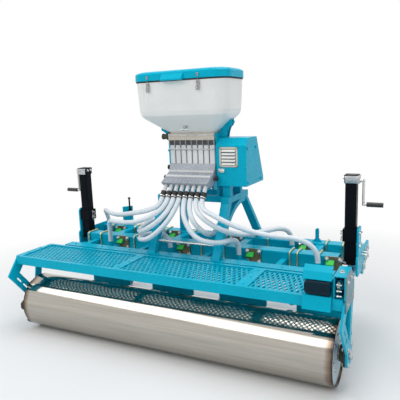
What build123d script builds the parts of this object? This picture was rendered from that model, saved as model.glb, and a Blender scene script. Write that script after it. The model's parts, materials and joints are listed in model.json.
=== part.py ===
from build123d import *
import math
import os

os.makedirs("parts", exist_ok=True)

# Mounted seed drill that runs on a smooth packer roller. Millimetres, X to the right seen from
# behind, Y forward, Z up. The origin is on the ground under the middle of the machine's length.
# Profiles are drawn in distances from the roller's axis, which lies ROLLER_Y from the origin.
ROLLER_Y = -420.0

# Clearances
RUN_FIT = 0.05        # radial room of a turning fit
EYE_ROOM = 1.5        # radial room of the jack's eye on its pin, where the linkage is open
LID_ROOM = 0.3        # between lid and tank rim
SEAL_ROOM = 7.0       # between the roller's end and its bearing

# Packer roller
DRUM_R = 190.0
DRUM_WALL = 6.0
DRUM_HALF = 1100.0
DISC_T = 8.0
DISC_RECESS = 12.0
HUB_R = 46.0
HUB_T = 10.0
SHAFT_R = 25.0
SHAFT_IN = 70.0       # how far the stub shaft reaches inside the end disc
SHAFT_OUT = 6.0       # how far it shows outside its arm

# Bearings and cranked roller arms
BEARING_R = 50.0
BEARING_T = 25.0
FLANGE = 120.0
FLANGE_T = 14.0
FLANGE_CORNER = 22.0
ARM_T = 12.0
ARM_W = 78.0          # width of the cranked leg
STRUT_W = 56.0        # width of the straight leg
BOSS_R = 74.0
KNEE = (-199.0, 432.0)
ARM_TOP = (-122.0, 528.0)
STRUT_TOP = (62.0, 532.0)
SLOT_LEN = 62.0
SLOT_W = 14.0

# Walkway deck
DECK_TOP = 564.0
DECK_H = 60.0
DECK_SKIN = 6.0
DECK_REAR = -165.0
DECK_FRONT = 185.0
MESH_T = 5.0
MESH_LEDGE = 14.0     # overlap of a mesh panel under the skin
MESH_REAR = -140.0
MESH_FRONT = 160.0
MESH_BAYS = [(-1110.0, -320.0), (-262.0, 545.0), (620.0, 1110.0)]   # left end, right end
MESH_PITCH_X = 33.0
MESH_PITCH_Y = 75.0
MESH_STRAND = 9.0
STRIP_REAR = 205.0
STRIP_FRONT = 290.0
STRIP_HALF = 1020.0
STUB = 40.0
STUB_X = [-900.0, -400.0, 120.0, 650.0]

# Main frame
BAR = 100.0
BAR_WALL = 6.0
REAR_BAR = 500.0      # bar centre ahead of the roller axis
REAR_BAR_Z = 550.0
REAR_BAR_HALF = 1000.0
FRONT_BAR = 850.0
FRONT_BAR_Z = 530.0
LUG_X = 775.0
LUG_T = 20.0
LUG_H = 85.0
LUG_BASE = 72.0
LUG_BASE_H = 26.0
LUG_NECK = 24.0
POST_X = -872.0
POST_W = 100.0
POST_H = 175.0
POST_T = 12.0
POST_SLANT = 14.0     # how much the post's top drops to the left
POST_HOLE = 9.0
POST_HOLE_IN = 16.0   # hole centre from the post's right edge
BRACE = 60.0
BRACE_WALL = 5.0
BRACE_Z = 540.0
BRACE_X = [-810.0, -270.0, 270.0, 810.0]
SIDE_IN = 1105.0      # inner face of the side plates
SIDE_T = 12.0
SIDE_REAR = 480.0
SIDE_FRONT = 950.0
SIDE_LOW = 466.0
SIDE_TOP = 602.0
SIDE_TAB_TOP = 785.0
SIDE_TAB_W = 100.0
SIDE_CORNER = 30.0

# Swinging side arms of the roller frame
PIVOT = (720.0, 474.0)
PIVOT_R = 20.0
PIVOT_LOBE = 56.0
SIDE_ARM_IN = 1035.0
SIDE_ARM_REAR = 40.0
SIDE_ARM_W = 50.0
SIDE_ARM_H = 60.0
SIDE_ARM_FORK = 12.0
FORK_HALF = 36.0

# Screw jacks
JACK_X = 1060.0
JACK = 550.0          # jack centre ahead of the roller axis
JACK_TUBE = 70.0
JACK_WALL = 6.0
JACK_LOW = 540.0
JACK_TOP = 1062.0
JACK_FOOT = 104.0
JACK_FOOT_T = 10.0
JACK_SLEEVE = 90.0
JACK_SLEEVE_LOW = 690.0
JACK_SLEEVE_TOP = 770.0
LEG_ROOM = 0.3        # between a jack's leg and its tube
LEG_TOP = 900.0
EYE_T = 22.0
EYE_R = 20.0
JACK_PIN_R = 11.0
CAP = 82.0
CAP_H = 34.0
CAP_STEP = 58.0
CAP_STEP_H = 20.0
CRANK_R = 8.0
CRANK_X = 1132.0
CRANK_DROP = 150.0
GRIP_R = 15.0
GRIP_END = 1250.0

# Row units
UNIT_REAR_X = [-675.0, -135.0, 405.0, 945.0]
UNIT_FRONT_X = [-945.0, -405.0, 135.0, 675.0]
CLAMP_W = 108.0
CLAMP_H = 104.0
CLAMP_ASIDE = 30.0    # clamp centre right of its unit
CLAMP_T = 10.0
LEVER_W = 50.0
LEVER_L = 26.0
LEVER_H = 30.0
LEVER_EDGE = 6.0
LEVER_IN = 20.0       # lever centre left of its clamp's
SHANK_W = 40.0
SHANK_L = 76.0
SHOE_TOP = 165.0
SHOE_W = 36.0
SHOE_HEEL = 95.0      # heel behind the bar
SHOE_HEEL_H = 70.0
SHOE_FLAT = 60.0      # where the sole starts to rise
SHOE_NOSE = (128.0, 92.0)
SHOE_CURVE = 140.0
BOOT_R = 22.0
BOOT_BORE = 12.0
BOOT_OUT = 45.0       # boot centre behind its bar's rear face
BOOT_ASIDE = 60.0     # boot centre left of its unit
BOOT_TOP = 565.0
BOOT_LOW = 110.0
BOARD_W = 340.0
BOARD_T = 6.0
BOARD_R = 305.0
BOARD_LOW = 150.0
BOARD_TOP = 396.0
BOARD_STRAP = 8.0
BOARD_STRAP_X = [-30.0, 70.0]     # from the unit's centre

# Hopper stand
STAND_X = 250.0
STAND_W = 56.0
STAND_TOP = 955.0
STAND_BAR_H = 44.0
STAND_REAR = 400.0
STAND_FRONT = 770.0
STAND_LEG_TOP = 62.0  # depth of a rear leg under its top bar
LEG_FOOT = (226.0, 272.0)
ARCH_W = 34.0
ARCH_RISE = 0.45      # where a curved brace leaves its leg, as a share of the leg's height
CROSS_R = [STAND_REAR + 70.0, STAND_FRONT - 70.0]
CROSS_W = 46.0
ROD_R = 9.0
ROD_Z = 645.0
FRONT_LEG_W = 60.0
FRONT_LEG_T = 40.0
FRONT_LEG_X = 330.0

# Heights of the hopper, counted up from the stand
TANK_LIFT = 435.0
TANK_LOW = STAND_TOP + TANK_LIFT
FUNNEL_H = 125.0
TANK_WALL_H = 235.0
TANK_KNEE = TANK_LOW + FUNNEL_H
TANK_TOP = TANK_KNEE + TANK_WALL_H

# Seed meter, counted down from the hopper
CHEEK_X = 177.0
CHEEK_T = 12.0
CHEEK_REAR = 440.0
CHEEK_FRONT = 700.0
CHEEK_LEAN = 60.0
CHEEK_TOP = TANK_LOW
SADDLE_R = [500.0, 540.0]
SADDLE_T = 8.0
SADDLE_OUT = 275.0
SADDLE_LIP = 42.0
SADDLE_LOW = 30.0
SADDLE_ROOM = 0.3     # between saddle and funnel
METER_REAR = 430.0
METER_FRONT = 560.0
METER_H = 80.0
METER_LIP = 12.0
METER_LIP_H = 46.0
METER_LOW = TANK_LOW - METER_H
OUTLETS = 8
OUTLET_PITCH = 44.0
CHUTE_W = 40.0
CHUTE_D = 46.0
CHUTE_H = 130.0
CHUTE_LOW = METER_LOW - CHUTE_H
NOZZLE_DIR = (-0.6, -0.8)
NOZZLE_BACK = 113.0   # nozzle roots behind the meter
NOZZLE_DROP = 139.0   # and below the chutes
NOZZLE_AT = (METER_REAR - NOZZLE_BACK, CHUTE_LOW - NOZZLE_DROP)
NOZZLE_FACE = 35.0    # half height of the manifold's slanting face
MANIFOLD_FRONT_H = 90.0
MANIFOLD_REAR_H = 55.0
MANIFOLD_OUT = 25.0
NOZZLE_R = 14.0
NOZZLE_BORE = 10.0
NOZZLE_LEN = 70.0
CUFF_R = 20.0
CUFF_LEN = 46.0
CUFF_AT = 50.0        # where a cuff starts along its nozzle

# Hopper
TANK_WALL = 8.0
TANK_X = -30.0        # the tank sits left of its outlet
TANK_MID = 485.0
TANK_W = 700.0
TANK_D = 360.0
TANK_CORNER = 85.0
KNEE_STEPS = [(22.0, 34.0), (0.0, 16.0), (-32.0, 9.0)]   # depth below the knee, inset from the rim
OUTLET_W = 330.0
OUTLET_D = 120.0
OUTLET_MID = 500.0
OUTLET_CORNER = 14.0
LID_OVER = 8.0
LID_SHEET = 5.0
LID_FLAT = 2.0        # least straight run between two corners of the lid
LID_STEPS = [(0.0, 0.0), (44.0, 0.0), (54.0, 8.0), (61.0, 26.0), (66.0, 72.0)]   # height, inset
HINGE_R = 7.0
HINGE_OUT = 22.0
HINGE_UP = 12.0
HINGE_X = 230.0
HINGE_LEN = 60.0
LUG_W = 24.0
PAD_X = -56.0
PAD_W = 160.0
PAD_H = 46.0
PAD_L = 26.0
PAD_EDGE = 10.0
PAD_UNDER = 6.0       # how far the lid's grip reaches below its edge

# Drive housing
HOUSING_IN = 190.0
HOUSING_OUT = 405.0
HOUSING_REAR = 420.0
HOUSING_FRONT = 750.0
HOUSING_LIFT = 77.0   # height of the housing's feet on the stand
HOUSING_H = 323.0
HOUSING_BEVEL = 45.0
HOUSING_BEVEL_H = 50.0
HOUSING_CUT = 125.0
HOUSING_CUT_H = 290.0
HOUSING_FOOT = 40.0
HOUSING_FOOT_R = [460.0, 640.0]

# Three-point hitch, category 2
LINK_PIN_R = 14.0
LINK_ROOT_R = 17.0    # the pin's root, pressed into its plate
LINK_AT = (1039.2, 420.0)
LINK_PLATE_T = 16.0
LINK_SHOULDER = 388.0
LINK_PIN_LEN = 92.0
LINK_NOSE = 50.0
TOP_LINK_AT = (1000.0, 1030.0)
TOP_LINK_R = 12.75
TOP_LINK_NOSE = 42.0
EAR_IN = 26.0
EAR_T = 14.0

# Lamp bracket at the right rear corner
BRACKET_W = 150.0
BRACKET_T = 4.0
BRACKET_RIB = 6.0

# End box and cover beside the lamp bracket
END_ROOM = 8.0        # between lamp bracket and end box
END_W = 60.0
END_SHEET = 5.0
END_H = 126.0
END_L = 180.0
COVER_T = 6.0
COVER_LOW = 494.0
COVER_L = 225.0
COVER_CORNER = 120.0

HOSE_R = 18.0


def side(x):
    """Plane across the machine: local x runs forward from the roller axis, local y is height."""
    return Plane(origin=(x, ROLLER_Y, 0), x_dir=(0, 1, 0), z_dir=(1, 0, 0))


def plan(z):
    """Level plane at height z: local y runs forward from the roller axis."""
    return Plane(origin=(0, ROLLER_Y, z))


def back(r):
    """Upright plane facing rearward, r ahead of the roller axis: local x is X, local y is Z."""
    return Plane(origin=(0, ROLLER_Y + r, 0), x_dir=(1, 0, 0), z_dir=(0, -1, 0))


def keep(piece, label):
    piece.part.label = label
    export_step(piece.part, f"parts/{label}.step")


ARM_IN = DRUM_HALF + SEAL_ROOM + BEARING_T + FLANGE_T
DECK_HALF = ARM_IN
END_OUT = ARM_IN + ARM_T
END_IN = END_OUT - END_W
BRACKET_X = END_IN - END_ROOM - BRACKET_W
REAR_FACE = REAR_BAR - BAR / 2
FRONT_FACE = FRONT_BAR - BAR / 2
FRONT_TOP = FRONT_BAR_Z + BAR / 2
UNITS = [(x, REAR_BAR, REAR_BAR_Z) for x in UNIT_REAR_X]     # x, bar, bar height
UNITS += [(x, FRONT_BAR, FRONT_BAR_Z) for x in UNIT_FRONT_X]

# Packer roller
with BuildPart() as roller_drum:
    with BuildSketch(side(-DRUM_HALF)):
        with Locations((0, DRUM_R)):
            Circle(DRUM_R)
            Circle(DRUM_R - DRUM_WALL, mode=Mode.SUBTRACT)
    extrude(amount=2 * DRUM_HALF)
keep(roller_drum, "roller_drum")

DISC_OUT = DRUM_HALF - DISC_RECESS
with BuildPart() as roller_end_discs:
    with BuildSketch(side(DISC_OUT - DISC_T)):
        with Locations((0, DRUM_R)):
            Circle(DRUM_R - DRUM_WALL)
    extrude(amount=DISC_T)
    with BuildSketch(side(DISC_OUT)):
        with Locations((0, DRUM_R)):
            Circle(HUB_R)
    extrude(amount=HUB_T)
    with BuildSketch(side(DISC_OUT - DISC_T)):
        with Locations((0, DRUM_R)):
            Circle(SHAFT_R)
    extrude(amount=DISC_T + HUB_T, mode=Mode.SUBTRACT)
    mirror(about=Plane.YZ)
keep(roller_end_discs, "roller_end_discs")

with BuildPart() as roller_shafts:
    with BuildSketch(side(DISC_OUT - DISC_T - SHAFT_IN)):
        with Locations((0, DRUM_R)):
            Circle(SHAFT_R)
    extrude(amount=ARM_IN + ARM_T + SHAFT_OUT - (DISC_OUT - DISC_T - SHAFT_IN))
    mirror(about=Plane.YZ)
keep(roller_shafts, "roller_shafts")

# Flanged bearings
with BuildPart() as roller_bearings:
    with BuildSketch(side(ARM_IN - FLANGE_T)):
        with Locations((0, DRUM_R)):
            RectangleRounded(FLANGE, FLANGE, FLANGE_CORNER)
    extrude(amount=FLANGE_T)
    with BuildSketch(side(ARM_IN - FLANGE_T)):
        with Locations((0, DRUM_R)):
            Circle(BEARING_R)
    extrude(amount=-BEARING_T, taper=8)
    with BuildSketch(side(ARM_IN)):
        with Locations((0, DRUM_R)):
            Circle(SHAFT_R + RUN_FIT)
    extrude(amount=-FLANGE_T - BEARING_T, mode=Mode.SUBTRACT)
    mirror(about=Plane.YZ)
keep(roller_bearings, "roller_bearings")

# Cranked roller arms: a bent leg with two slots, a straight leg and the bearing boss
LEG_DX = -KNEE[0]
LEG_DZ = DRUM_R - KNEE[1]
LEG_TURN = math.degrees(math.atan2(LEG_DZ, LEG_DX))
with BuildPart() as roller_arms:
    with BuildSketch(side(ARM_IN)):
        with BuildLine() as crank_line:
            Polyline(ARM_TOP, KNEE, (0, DRUM_R))
        trace(line_width=ARM_W)
        with BuildLine() as strut_line:
            Line(STRUT_TOP, (0, DRUM_R))
        trace(line_width=STRUT_W)
        with Locations((0, DRUM_R)):
            Circle(BOSS_R)
        with Locations(((ARM_TOP[0] + STRUT_TOP[0]) / 2, DECK_TOP - DECK_H / 2)):
            Rectangle(STRUT_TOP[0] - ARM_TOP[0] + STRUT_W, DECK_H)
        with Locations((0, DRUM_R)):
            Circle(SHAFT_R + SEAL_ROOM, mode=Mode.SUBTRACT)
        for share in (0.22, 0.47):
            with Locations((KNEE[0] + share * LEG_DX, KNEE[1] + share * LEG_DZ)):
                SlotOverall(SLOT_LEN, SLOT_W, rotation=LEG_TURN, mode=Mode.SUBTRACT)
    extrude(amount=ARM_T)
    mirror(about=Plane.YZ)
keep(roller_arms, "roller_arms")

# Walkway deck of folded sheet, open below, with three mesh bays
DECK_MID = (DECK_REAR + DECK_FRONT) / 2
BAY_MID = (MESH_REAR + MESH_FRONT) / 2
with BuildPart() as deck_frame:
    with BuildSketch(plan(DECK_TOP - DECK_H)):
        with Locations((0, DECK_MID)):
            Rectangle(2 * DECK_HALF, DECK_FRONT - DECK_REAR)
    extrude(amount=DECK_H)
    offset(amount=-DECK_SKIN, openings=faces().sort_by(Axis.Z)[0])
    with BuildSketch(plan(DECK_TOP - DECK_SKIN)):
        for left, right in MESH_BAYS:
            with Locations(((left + right) / 2, BAY_MID)):
                Rectangle(right - left, MESH_FRONT - MESH_REAR)
    extrude(amount=DECK_SKIN, mode=Mode.SUBTRACT)
keep(deck_frame, "deck_frame")

with BuildPart() as deck_mesh:
    with BuildSketch(plan(DECK_TOP - DECK_SKIN - MESH_T)):
        for left, right in MESH_BAYS:
            bay_w = right - left
            bay_d = MESH_FRONT - MESH_REAR
            with Locations(((left + right) / 2, BAY_MID)):
                Rectangle(bay_w + 2 * MESH_LEDGE, bay_d + 2 * MESH_LEDGE)
                across = int(bay_w // MESH_PITCH_X)
                along = int(bay_d // MESH_PITCH_Y)
                half_x = (MESH_PITCH_X - MESH_STRAND) / 2
                half_y = (MESH_PITCH_Y - MESH_STRAND) / 2
                diamond = [(half_x, 0), (0, half_y), (-half_x, 0), (0, -half_y)]
                with GridLocations(MESH_PITCH_X, MESH_PITCH_Y, across, along):
                    Polygon(*diamond, mode=Mode.SUBTRACT)
                with GridLocations(MESH_PITCH_X, MESH_PITCH_Y, across - 1, along - 1):
                    Polygon(*diamond, mode=Mode.SUBTRACT)
    extrude(amount=MESH_T)
keep(deck_mesh, "deck_mesh")

# Side arms that swing on the main frame and carry deck and roller
ARM_LOW = DECK_TOP - DECK_H - SIDE_ARM_H
with BuildPart() as side_arms:
    with BuildSketch(side(SIDE_ARM_IN)):
        with Locations(((SIDE_ARM_REAR + PIVOT[0]) / 2, ARM_LOW + SIDE_ARM_H / 2)):
            Rectangle(PIVOT[0] - SIDE_ARM_REAR, SIDE_ARM_H)
        with Locations(PIVOT):
            Circle(SIDE_ARM_H / 2)
            Circle(PIVOT_R + RUN_FIT, mode=Mode.SUBTRACT)
    extrude(amount=SIDE_ARM_W)
    with BuildSketch(plan(ARM_LOW)):
        with Locations((SIDE_ARM_IN + SIDE_ARM_W / 2, JACK)):
            Rectangle(SIDE_ARM_W - 2 * SIDE_ARM_FORK, 2 * FORK_HALF)
    extrude(amount=SIDE_ARM_H, mode=Mode.SUBTRACT)
    with BuildSketch(side(SIDE_ARM_IN)):
        with Locations((JACK, PIVOT[1])):
            Circle(JACK_PIN_R)
    extrude(amount=SIDE_ARM_W, mode=Mode.SUBTRACT)
    mirror(about=Plane.YZ)
keep(side_arms, "side_arms")

with BuildPart() as jack_pins:
    with BuildSketch(side(SIDE_ARM_IN)):
        with Locations((JACK, PIVOT[1])):
            Circle(JACK_PIN_R)
    extrude(amount=SIDE_ARM_W)
    mirror(about=Plane.YZ)
keep(jack_pins, "jack_pins")

with BuildPart() as pivot_pins:
    with BuildSketch(side(SIDE_ARM_IN)):
        with Locations(PIVOT):
            Circle(PIVOT_R)
    extrude(amount=SIDE_IN + SIDE_T - SIDE_ARM_IN)
    mirror(about=Plane.YZ)
keep(pivot_pins, "pivot_pins")

# Lamp bracket: a lower flap on the fascia, a half-round recess and a leaning upper flap
BRACKET_LOW = (-192.0, 500.0)
BRACKET_MID = (-172.0, 572.0)
BRACKET_UP = (-172.0, 664.0)
BRACKET_FOLD = (-156.0, 700.0)
BRACKET_TIP = (-122.0, 726.0)
BRACKET_BULGE = (-126.0, 618.0)
BRACKET_HEEL = -100.0
with BuildPart() as lamp_bracket:
    with BuildSketch(side(BRACKET_X)):
        with BuildLine():
            Line(BRACKET_LOW, BRACKET_MID)
            ThreePointArc(BRACKET_MID, BRACKET_BULGE, BRACKET_UP)
            Line(BRACKET_UP, BRACKET_FOLD)
            Line(BRACKET_FOLD, BRACKET_TIP)
        trace(line_width=BRACKET_T)
    extrude(amount=BRACKET_W)
    for x in (BRACKET_X, BRACKET_X + BRACKET_W - BRACKET_RIB):
        with BuildSketch(side(x)):
            with BuildLine():
                Line(BRACKET_MID, (BRACKET_MID[0], DECK_TOP))
                Line((BRACKET_MID[0], DECK_TOP), (BRACKET_HEEL, DECK_TOP))
                Line((BRACKET_HEEL, DECK_TOP), (BRACKET_HEEL, BRACKET_UP[1]))
                Line((BRACKET_HEEL, BRACKET_UP[1]), BRACKET_UP)
                ThreePointArc(BRACKET_UP, BRACKET_BULGE, BRACKET_MID)
            make_face()
        extrude(amount=BRACKET_RIB)
keep(lamp_bracket, "lamp_bracket")

# End box on the deck's right end, open to the rear, and the rounded cover outside the roller arm
END_TOP = DECK_TOP + END_H
with BuildPart() as end_bracket:
    with BuildSketch(side(END_IN)):
        with Locations((DECK_REAR + END_L / 2, DECK_TOP + END_H / 2)):
            Rectangle(END_L, END_H)
    extrude(amount=END_OUT - END_IN)
    with BuildSketch(side(END_IN + END_SHEET)):
        with Locations((DECK_REAR + END_L / 2 - END_SHEET, DECK_TOP + END_H / 2 - END_SHEET)):
            Rectangle(END_L, END_H)
    extrude(amount=END_OUT - END_IN - 2 * END_SHEET, mode=Mode.SUBTRACT)
keep(end_bracket, "end_bracket")

with BuildPart() as end_cover:
    with BuildSketch(side(END_OUT)):
        with BuildLine():
            Line((DECK_REAR, COVER_LOW), (DECK_REAR, END_TOP))
            Line((DECK_REAR, END_TOP), (DECK_REAR + COVER_L - COVER_CORNER, END_TOP))
            RadiusArc(
                (DECK_REAR + COVER_L - COVER_CORNER, END_TOP),
                (DECK_REAR + COVER_L, END_TOP - COVER_CORNER),
                COVER_CORNER,
            )
            Line((DECK_REAR + COVER_L, END_TOP - COVER_CORNER), (DECK_REAR + COVER_L, COVER_LOW))
            Line((DECK_REAR + COVER_L, COVER_LOW), (DECK_REAR, COVER_LOW))
        make_face()
    extrude(amount=COVER_T)
keep(end_cover, "end_cover")

# Main frame
with BuildPart() as toolbar_rear:
    with BuildSketch(side(-REAR_BAR_HALF)):
        with Locations((REAR_BAR, REAR_BAR_Z)):
            RectangleRounded(BAR, BAR, BAR_WALL)
            Rectangle(BAR - 2 * BAR_WALL, BAR - 2 * BAR_WALL, mode=Mode.SUBTRACT)
    extrude(amount=2 * REAR_BAR_HALF)
keep(toolbar_rear, "toolbar_rear")

with BuildPart() as toolbar_front:
    with BuildSketch(side(-SIDE_IN)):
        with Locations((FRONT_BAR, FRONT_BAR_Z)):
            RectangleRounded(BAR, BAR, BAR_WALL)
            Rectangle(BAR - 2 * BAR_WALL, BAR - 2 * BAR_WALL, mode=Mode.SUBTRACT)
    extrude(amount=2 * SIDE_IN)
    with BuildSketch(back(FRONT_BAR - LUG_T / 2)):
        with Locations((LUG_X, FRONT_TOP + LUG_H / 2)):
            Rectangle(LUG_NECK, LUG_H)
        with Locations((LUG_X, FRONT_TOP + LUG_H)):
            Circle(LUG_NECK / 2)
        with Locations((LUG_X, FRONT_TOP + LUG_BASE_H / 2)):
            Trapezoid(LUG_BASE, LUG_BASE_H, 45)
    extrude(amount=-LUG_T)
    with BuildSketch(back(FRONT_BAR - POST_T / 2)):
        with BuildLine():
            Polyline(
                (POST_X - POST_W / 2, FRONT_TOP),
                (POST_X + POST_W / 2, FRONT_TOP),
                (POST_X + POST_W / 2, FRONT_TOP + POST_H),
                (POST_X - POST_W / 2, FRONT_TOP + POST_H - POST_SLANT),
                close=True,
            )
        make_face()
        with Locations((POST_X + POST_W / 2 - POST_HOLE_IN, FRONT_TOP + POST_H - 2 * POST_HOLE_IN)):
            Circle(POST_HOLE, mode=Mode.SUBTRACT)
    extrude(amount=-POST_T)
keep(toolbar_front, "toolbar_front")

with BuildPart() as frame_braces:
    with BuildSketch(back(REAR_BAR + BAR / 2)):
        for x in BRACE_X:
            with Locations((x, BRACE_Z)):
                Rectangle(BRACE, BRACE)
                Rectangle(BRACE - 2 * BRACE_WALL, BRACE - 2 * BRACE_WALL, mode=Mode.SUBTRACT)
    extrude(amount=-(FRONT_FACE - REAR_BAR - BAR / 2))
keep(frame_braces, "frame_braces")

with BuildPart() as side_plates:
    with BuildSketch(side(SIDE_IN)):
        with Locations(((SIDE_REAR + SIDE_FRONT) / 2, (SIDE_LOW + SIDE_TOP) / 2)):
            RectangleRounded(SIDE_FRONT - SIDE_REAR, SIDE_TOP - SIDE_LOW, SIDE_CORNER)
        with Locations((JACK, (SIDE_LOW + SIDE_TAB_TOP) / 2)):
            RectangleRounded(SIDE_TAB_W, SIDE_TAB_TOP - SIDE_LOW, SIDE_CORNER)
        with Locations(PIVOT):
            Circle(PIVOT_LOBE)
            Circle(PIVOT_R, mode=Mode.SUBTRACT)
    extrude(amount=SIDE_T)
    mirror(about=Plane.YZ)
keep(side_plates, "side_plates")

with BuildPart() as walkway_strip:
    with BuildSketch(side(-STRIP_HALF)):
        with Locations(((STRIP_REAR + STRIP_FRONT) / 2, DECK_TOP - DECK_H / 2)):
            Rectangle(STRIP_FRONT - STRIP_REAR, DECK_H)
        with Locations(((STRIP_REAR + STRIP_FRONT) / 2, DECK_TOP - DECK_H / 2 - DECK_SKIN)):
            Rectangle(STRIP_FRONT - STRIP_REAR - 2 * DECK_SKIN, DECK_H, mode=Mode.SUBTRACT)
    extrude(amount=2 * STRIP_HALF)
keep(walkway_strip, "walkway_strip")

with BuildPart() as strip_stubs:
    with BuildSketch(back(STRIP_FRONT)):
        for x in STUB_X:
            with Locations((x, DECK_TOP - DECK_H / 2)):
                Rectangle(STUB, STUB)
    extrude(amount=-(REAR_FACE - STRIP_FRONT))
keep(strip_stubs, "strip_stubs")

# Screw jacks that set the roller's height
LEG = JACK_TUBE - 2 * JACK_WALL - 2 * LEG_ROOM
with BuildPart() as jack_tubes:
    with BuildSketch(plan(JACK_LOW)):
        with Locations((JACK_X, JACK)):
            RectangleRounded(JACK_TUBE, JACK_TUBE, JACK_WALL)
            Rectangle(JACK_TUBE - 2 * JACK_WALL, JACK_TUBE - 2 * JACK_WALL, mode=Mode.SUBTRACT)
    extrude(amount=JACK_TOP - JACK_LOW)
    with BuildSketch(plan(JACK_LOW)):
        with Locations((JACK_X - 7, JACK)):
            RectangleRounded(JACK_FOOT - 14, JACK_FOOT, 12)
        with Locations((JACK_X, JACK)):
            Rectangle(JACK_TUBE - 2 * JACK_WALL, JACK_TUBE - 2 * JACK_WALL, mode=Mode.SUBTRACT)
    extrude(amount=JACK_FOOT_T)
    mirror(about=Plane.YZ)
keep(jack_tubes, "jack_tubes")

with BuildPart() as jack_sleeves:
    with BuildSketch(plan(JACK_SLEEVE_LOW)):
        with Locations((JACK_X, JACK)):
            Rectangle(JACK_SLEEVE, JACK_SLEEVE)
            RectangleRounded(JACK_TUBE, JACK_TUBE, JACK_WALL, mode=Mode.SUBTRACT)
    extrude(amount=JACK_SLEEVE_TOP - JACK_SLEEVE_LOW)
    mirror(about=Plane.YZ)
keep(jack_sleeves, "jack_sleeves")

with BuildPart() as jack_caps:
    with BuildSketch(plan(JACK_TOP)):
        with Locations((JACK_X, JACK)):
            RectangleRounded(CAP, CAP, 8)
    extrude(amount=CAP_H)
    with BuildSketch(plan(JACK_TOP + CAP_H)):
        with Locations((JACK_X, JACK)):
            RectangleRounded(CAP_STEP, CAP_STEP, 8)
    extrude(amount=CAP_STEP_H)
    mirror(about=Plane.YZ)
keep(jack_caps, "jack_caps")

CRANK_Z = JACK_TOP + CAP_H / 2
with BuildPart() as jack_cranks:
    with BuildSketch(side(JACK_X + CAP / 2)):
        with Locations((JACK, CRANK_Z)):
            Circle(CRANK_R)
    extrude(amount=CRANK_X + CRANK_R - JACK_X - CAP / 2)
    with BuildSketch(plan(CRANK_Z + CRANK_R)):
        with Locations((CRANK_X, JACK)):
            Circle(CRANK_R)
    extrude(amount=-CRANK_DROP - 2 * CRANK_R)
    with BuildSketch(side(CRANK_X)):
        with Locations((JACK, CRANK_Z - CRANK_DROP)):
            Circle(CRANK_R)
    extrude(amount=40)
    with BuildSketch(side(CRANK_X + 20)):
        with Locations((JACK, CRANK_Z - CRANK_DROP)):
            Circle(GRIP_R)
    extrude(amount=GRIP_END - CRANK_X - 20)
    mirror(about=Plane.YZ)
keep(jack_cranks, "jack_cranks")

for hand, sign in (("left", -1), ("right", 1)):
    with BuildPart() as jack_leg:
        with BuildSketch(plan(JACK_LOW + JACK_FOOT_T)):
            with Locations((sign * JACK_X, JACK)):
                Rectangle(LEG, LEG)
        extrude(amount=LEG_TOP - JACK_LOW - JACK_FOOT_T)
        with BuildSketch(side(sign * JACK_X - EYE_T / 2)):
            with Locations((JACK, PIVOT[1])):
                Circle(EYE_R)
            with Locations((JACK, (PIVOT[1] + JACK_LOW + 2 * JACK_FOOT_T) / 2)):
                Rectangle(2 * EYE_R, JACK_LOW + 2 * JACK_FOOT_T - PIVOT[1])
            with Locations((JACK, PIVOT[1])):
                Circle(JACK_PIN_R + EYE_ROOM, mode=Mode.SUBTRACT)
        extrude(amount=EYE_T)
    keep(jack_leg, f"jack_leg_{hand}")

# Row units
with BuildPart() as unit_clamps:
    for x, bar, bar_z in UNITS:
        with BuildSketch(back(bar - BAR / 2)):
            with Locations((x + CLAMP_ASIDE, bar_z)):
                RectangleRounded(CLAMP_W, CLAMP_H, 10)
        extrude(amount=CLAMP_T)
keep(unit_clamps, "unit_clamps")

with BuildPart() as unit_levers:
    for x, bar, bar_z in UNITS:
        face = bar - BAR / 2 - CLAMP_T
        with BuildSketch(side(x + CLAMP_ASIDE - LEVER_IN - LEVER_W / 2)):
            with BuildLine():
                Polyline(
                    (face, bar_z),
                    (face, bar_z + LEVER_H),
                    (face - LEVER_L, bar_z + LEVER_EDGE),
                    (face - LEVER_L, bar_z),
                    close=True,
                )
            make_face()
        extrude(amount=LEVER_W)
keep(unit_levers, "unit_levers")

with BuildPart() as unit_shanks:
    for x, bar, bar_z in UNITS:
        with BuildSketch(plan(SHOE_TOP)):
            with Locations((x, bar)):
                RectangleRounded(SHANK_W, SHANK_L, 5)
        extrude(amount=bar_z - BAR / 2 - SHOE_TOP)
keep(unit_shanks, "unit_shanks")

with BuildPart() as opener_shoes:
    for x, bar, bar_z in UNITS:
        heel = bar - SHOE_HEEL
        nose = (bar + SHOE_NOSE[0], SHOE_NOSE[1])
        with BuildSketch(side(x - SHOE_W / 2)):
            with BuildLine():
                Line((heel, 0), (bar + SHOE_FLAT, 0))
                RadiusArc((bar + SHOE_FLAT, 0), nose, -SHOE_CURVE)
                Line(nose, (bar + SHANK_L / 2, SHOE_TOP))
                Line((bar + SHANK_L / 2, SHOE_TOP), (bar - SHANK_L / 2, SHOE_TOP))
                Line((bar - SHANK_L / 2, SHOE_TOP), (heel, SHOE_HEEL_H))
                Line((heel, SHOE_HEEL_H), (heel, 0))
            make_face()
        extrude(amount=SHOE_W)
keep(opener_shoes, "opener_shoes")

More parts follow.
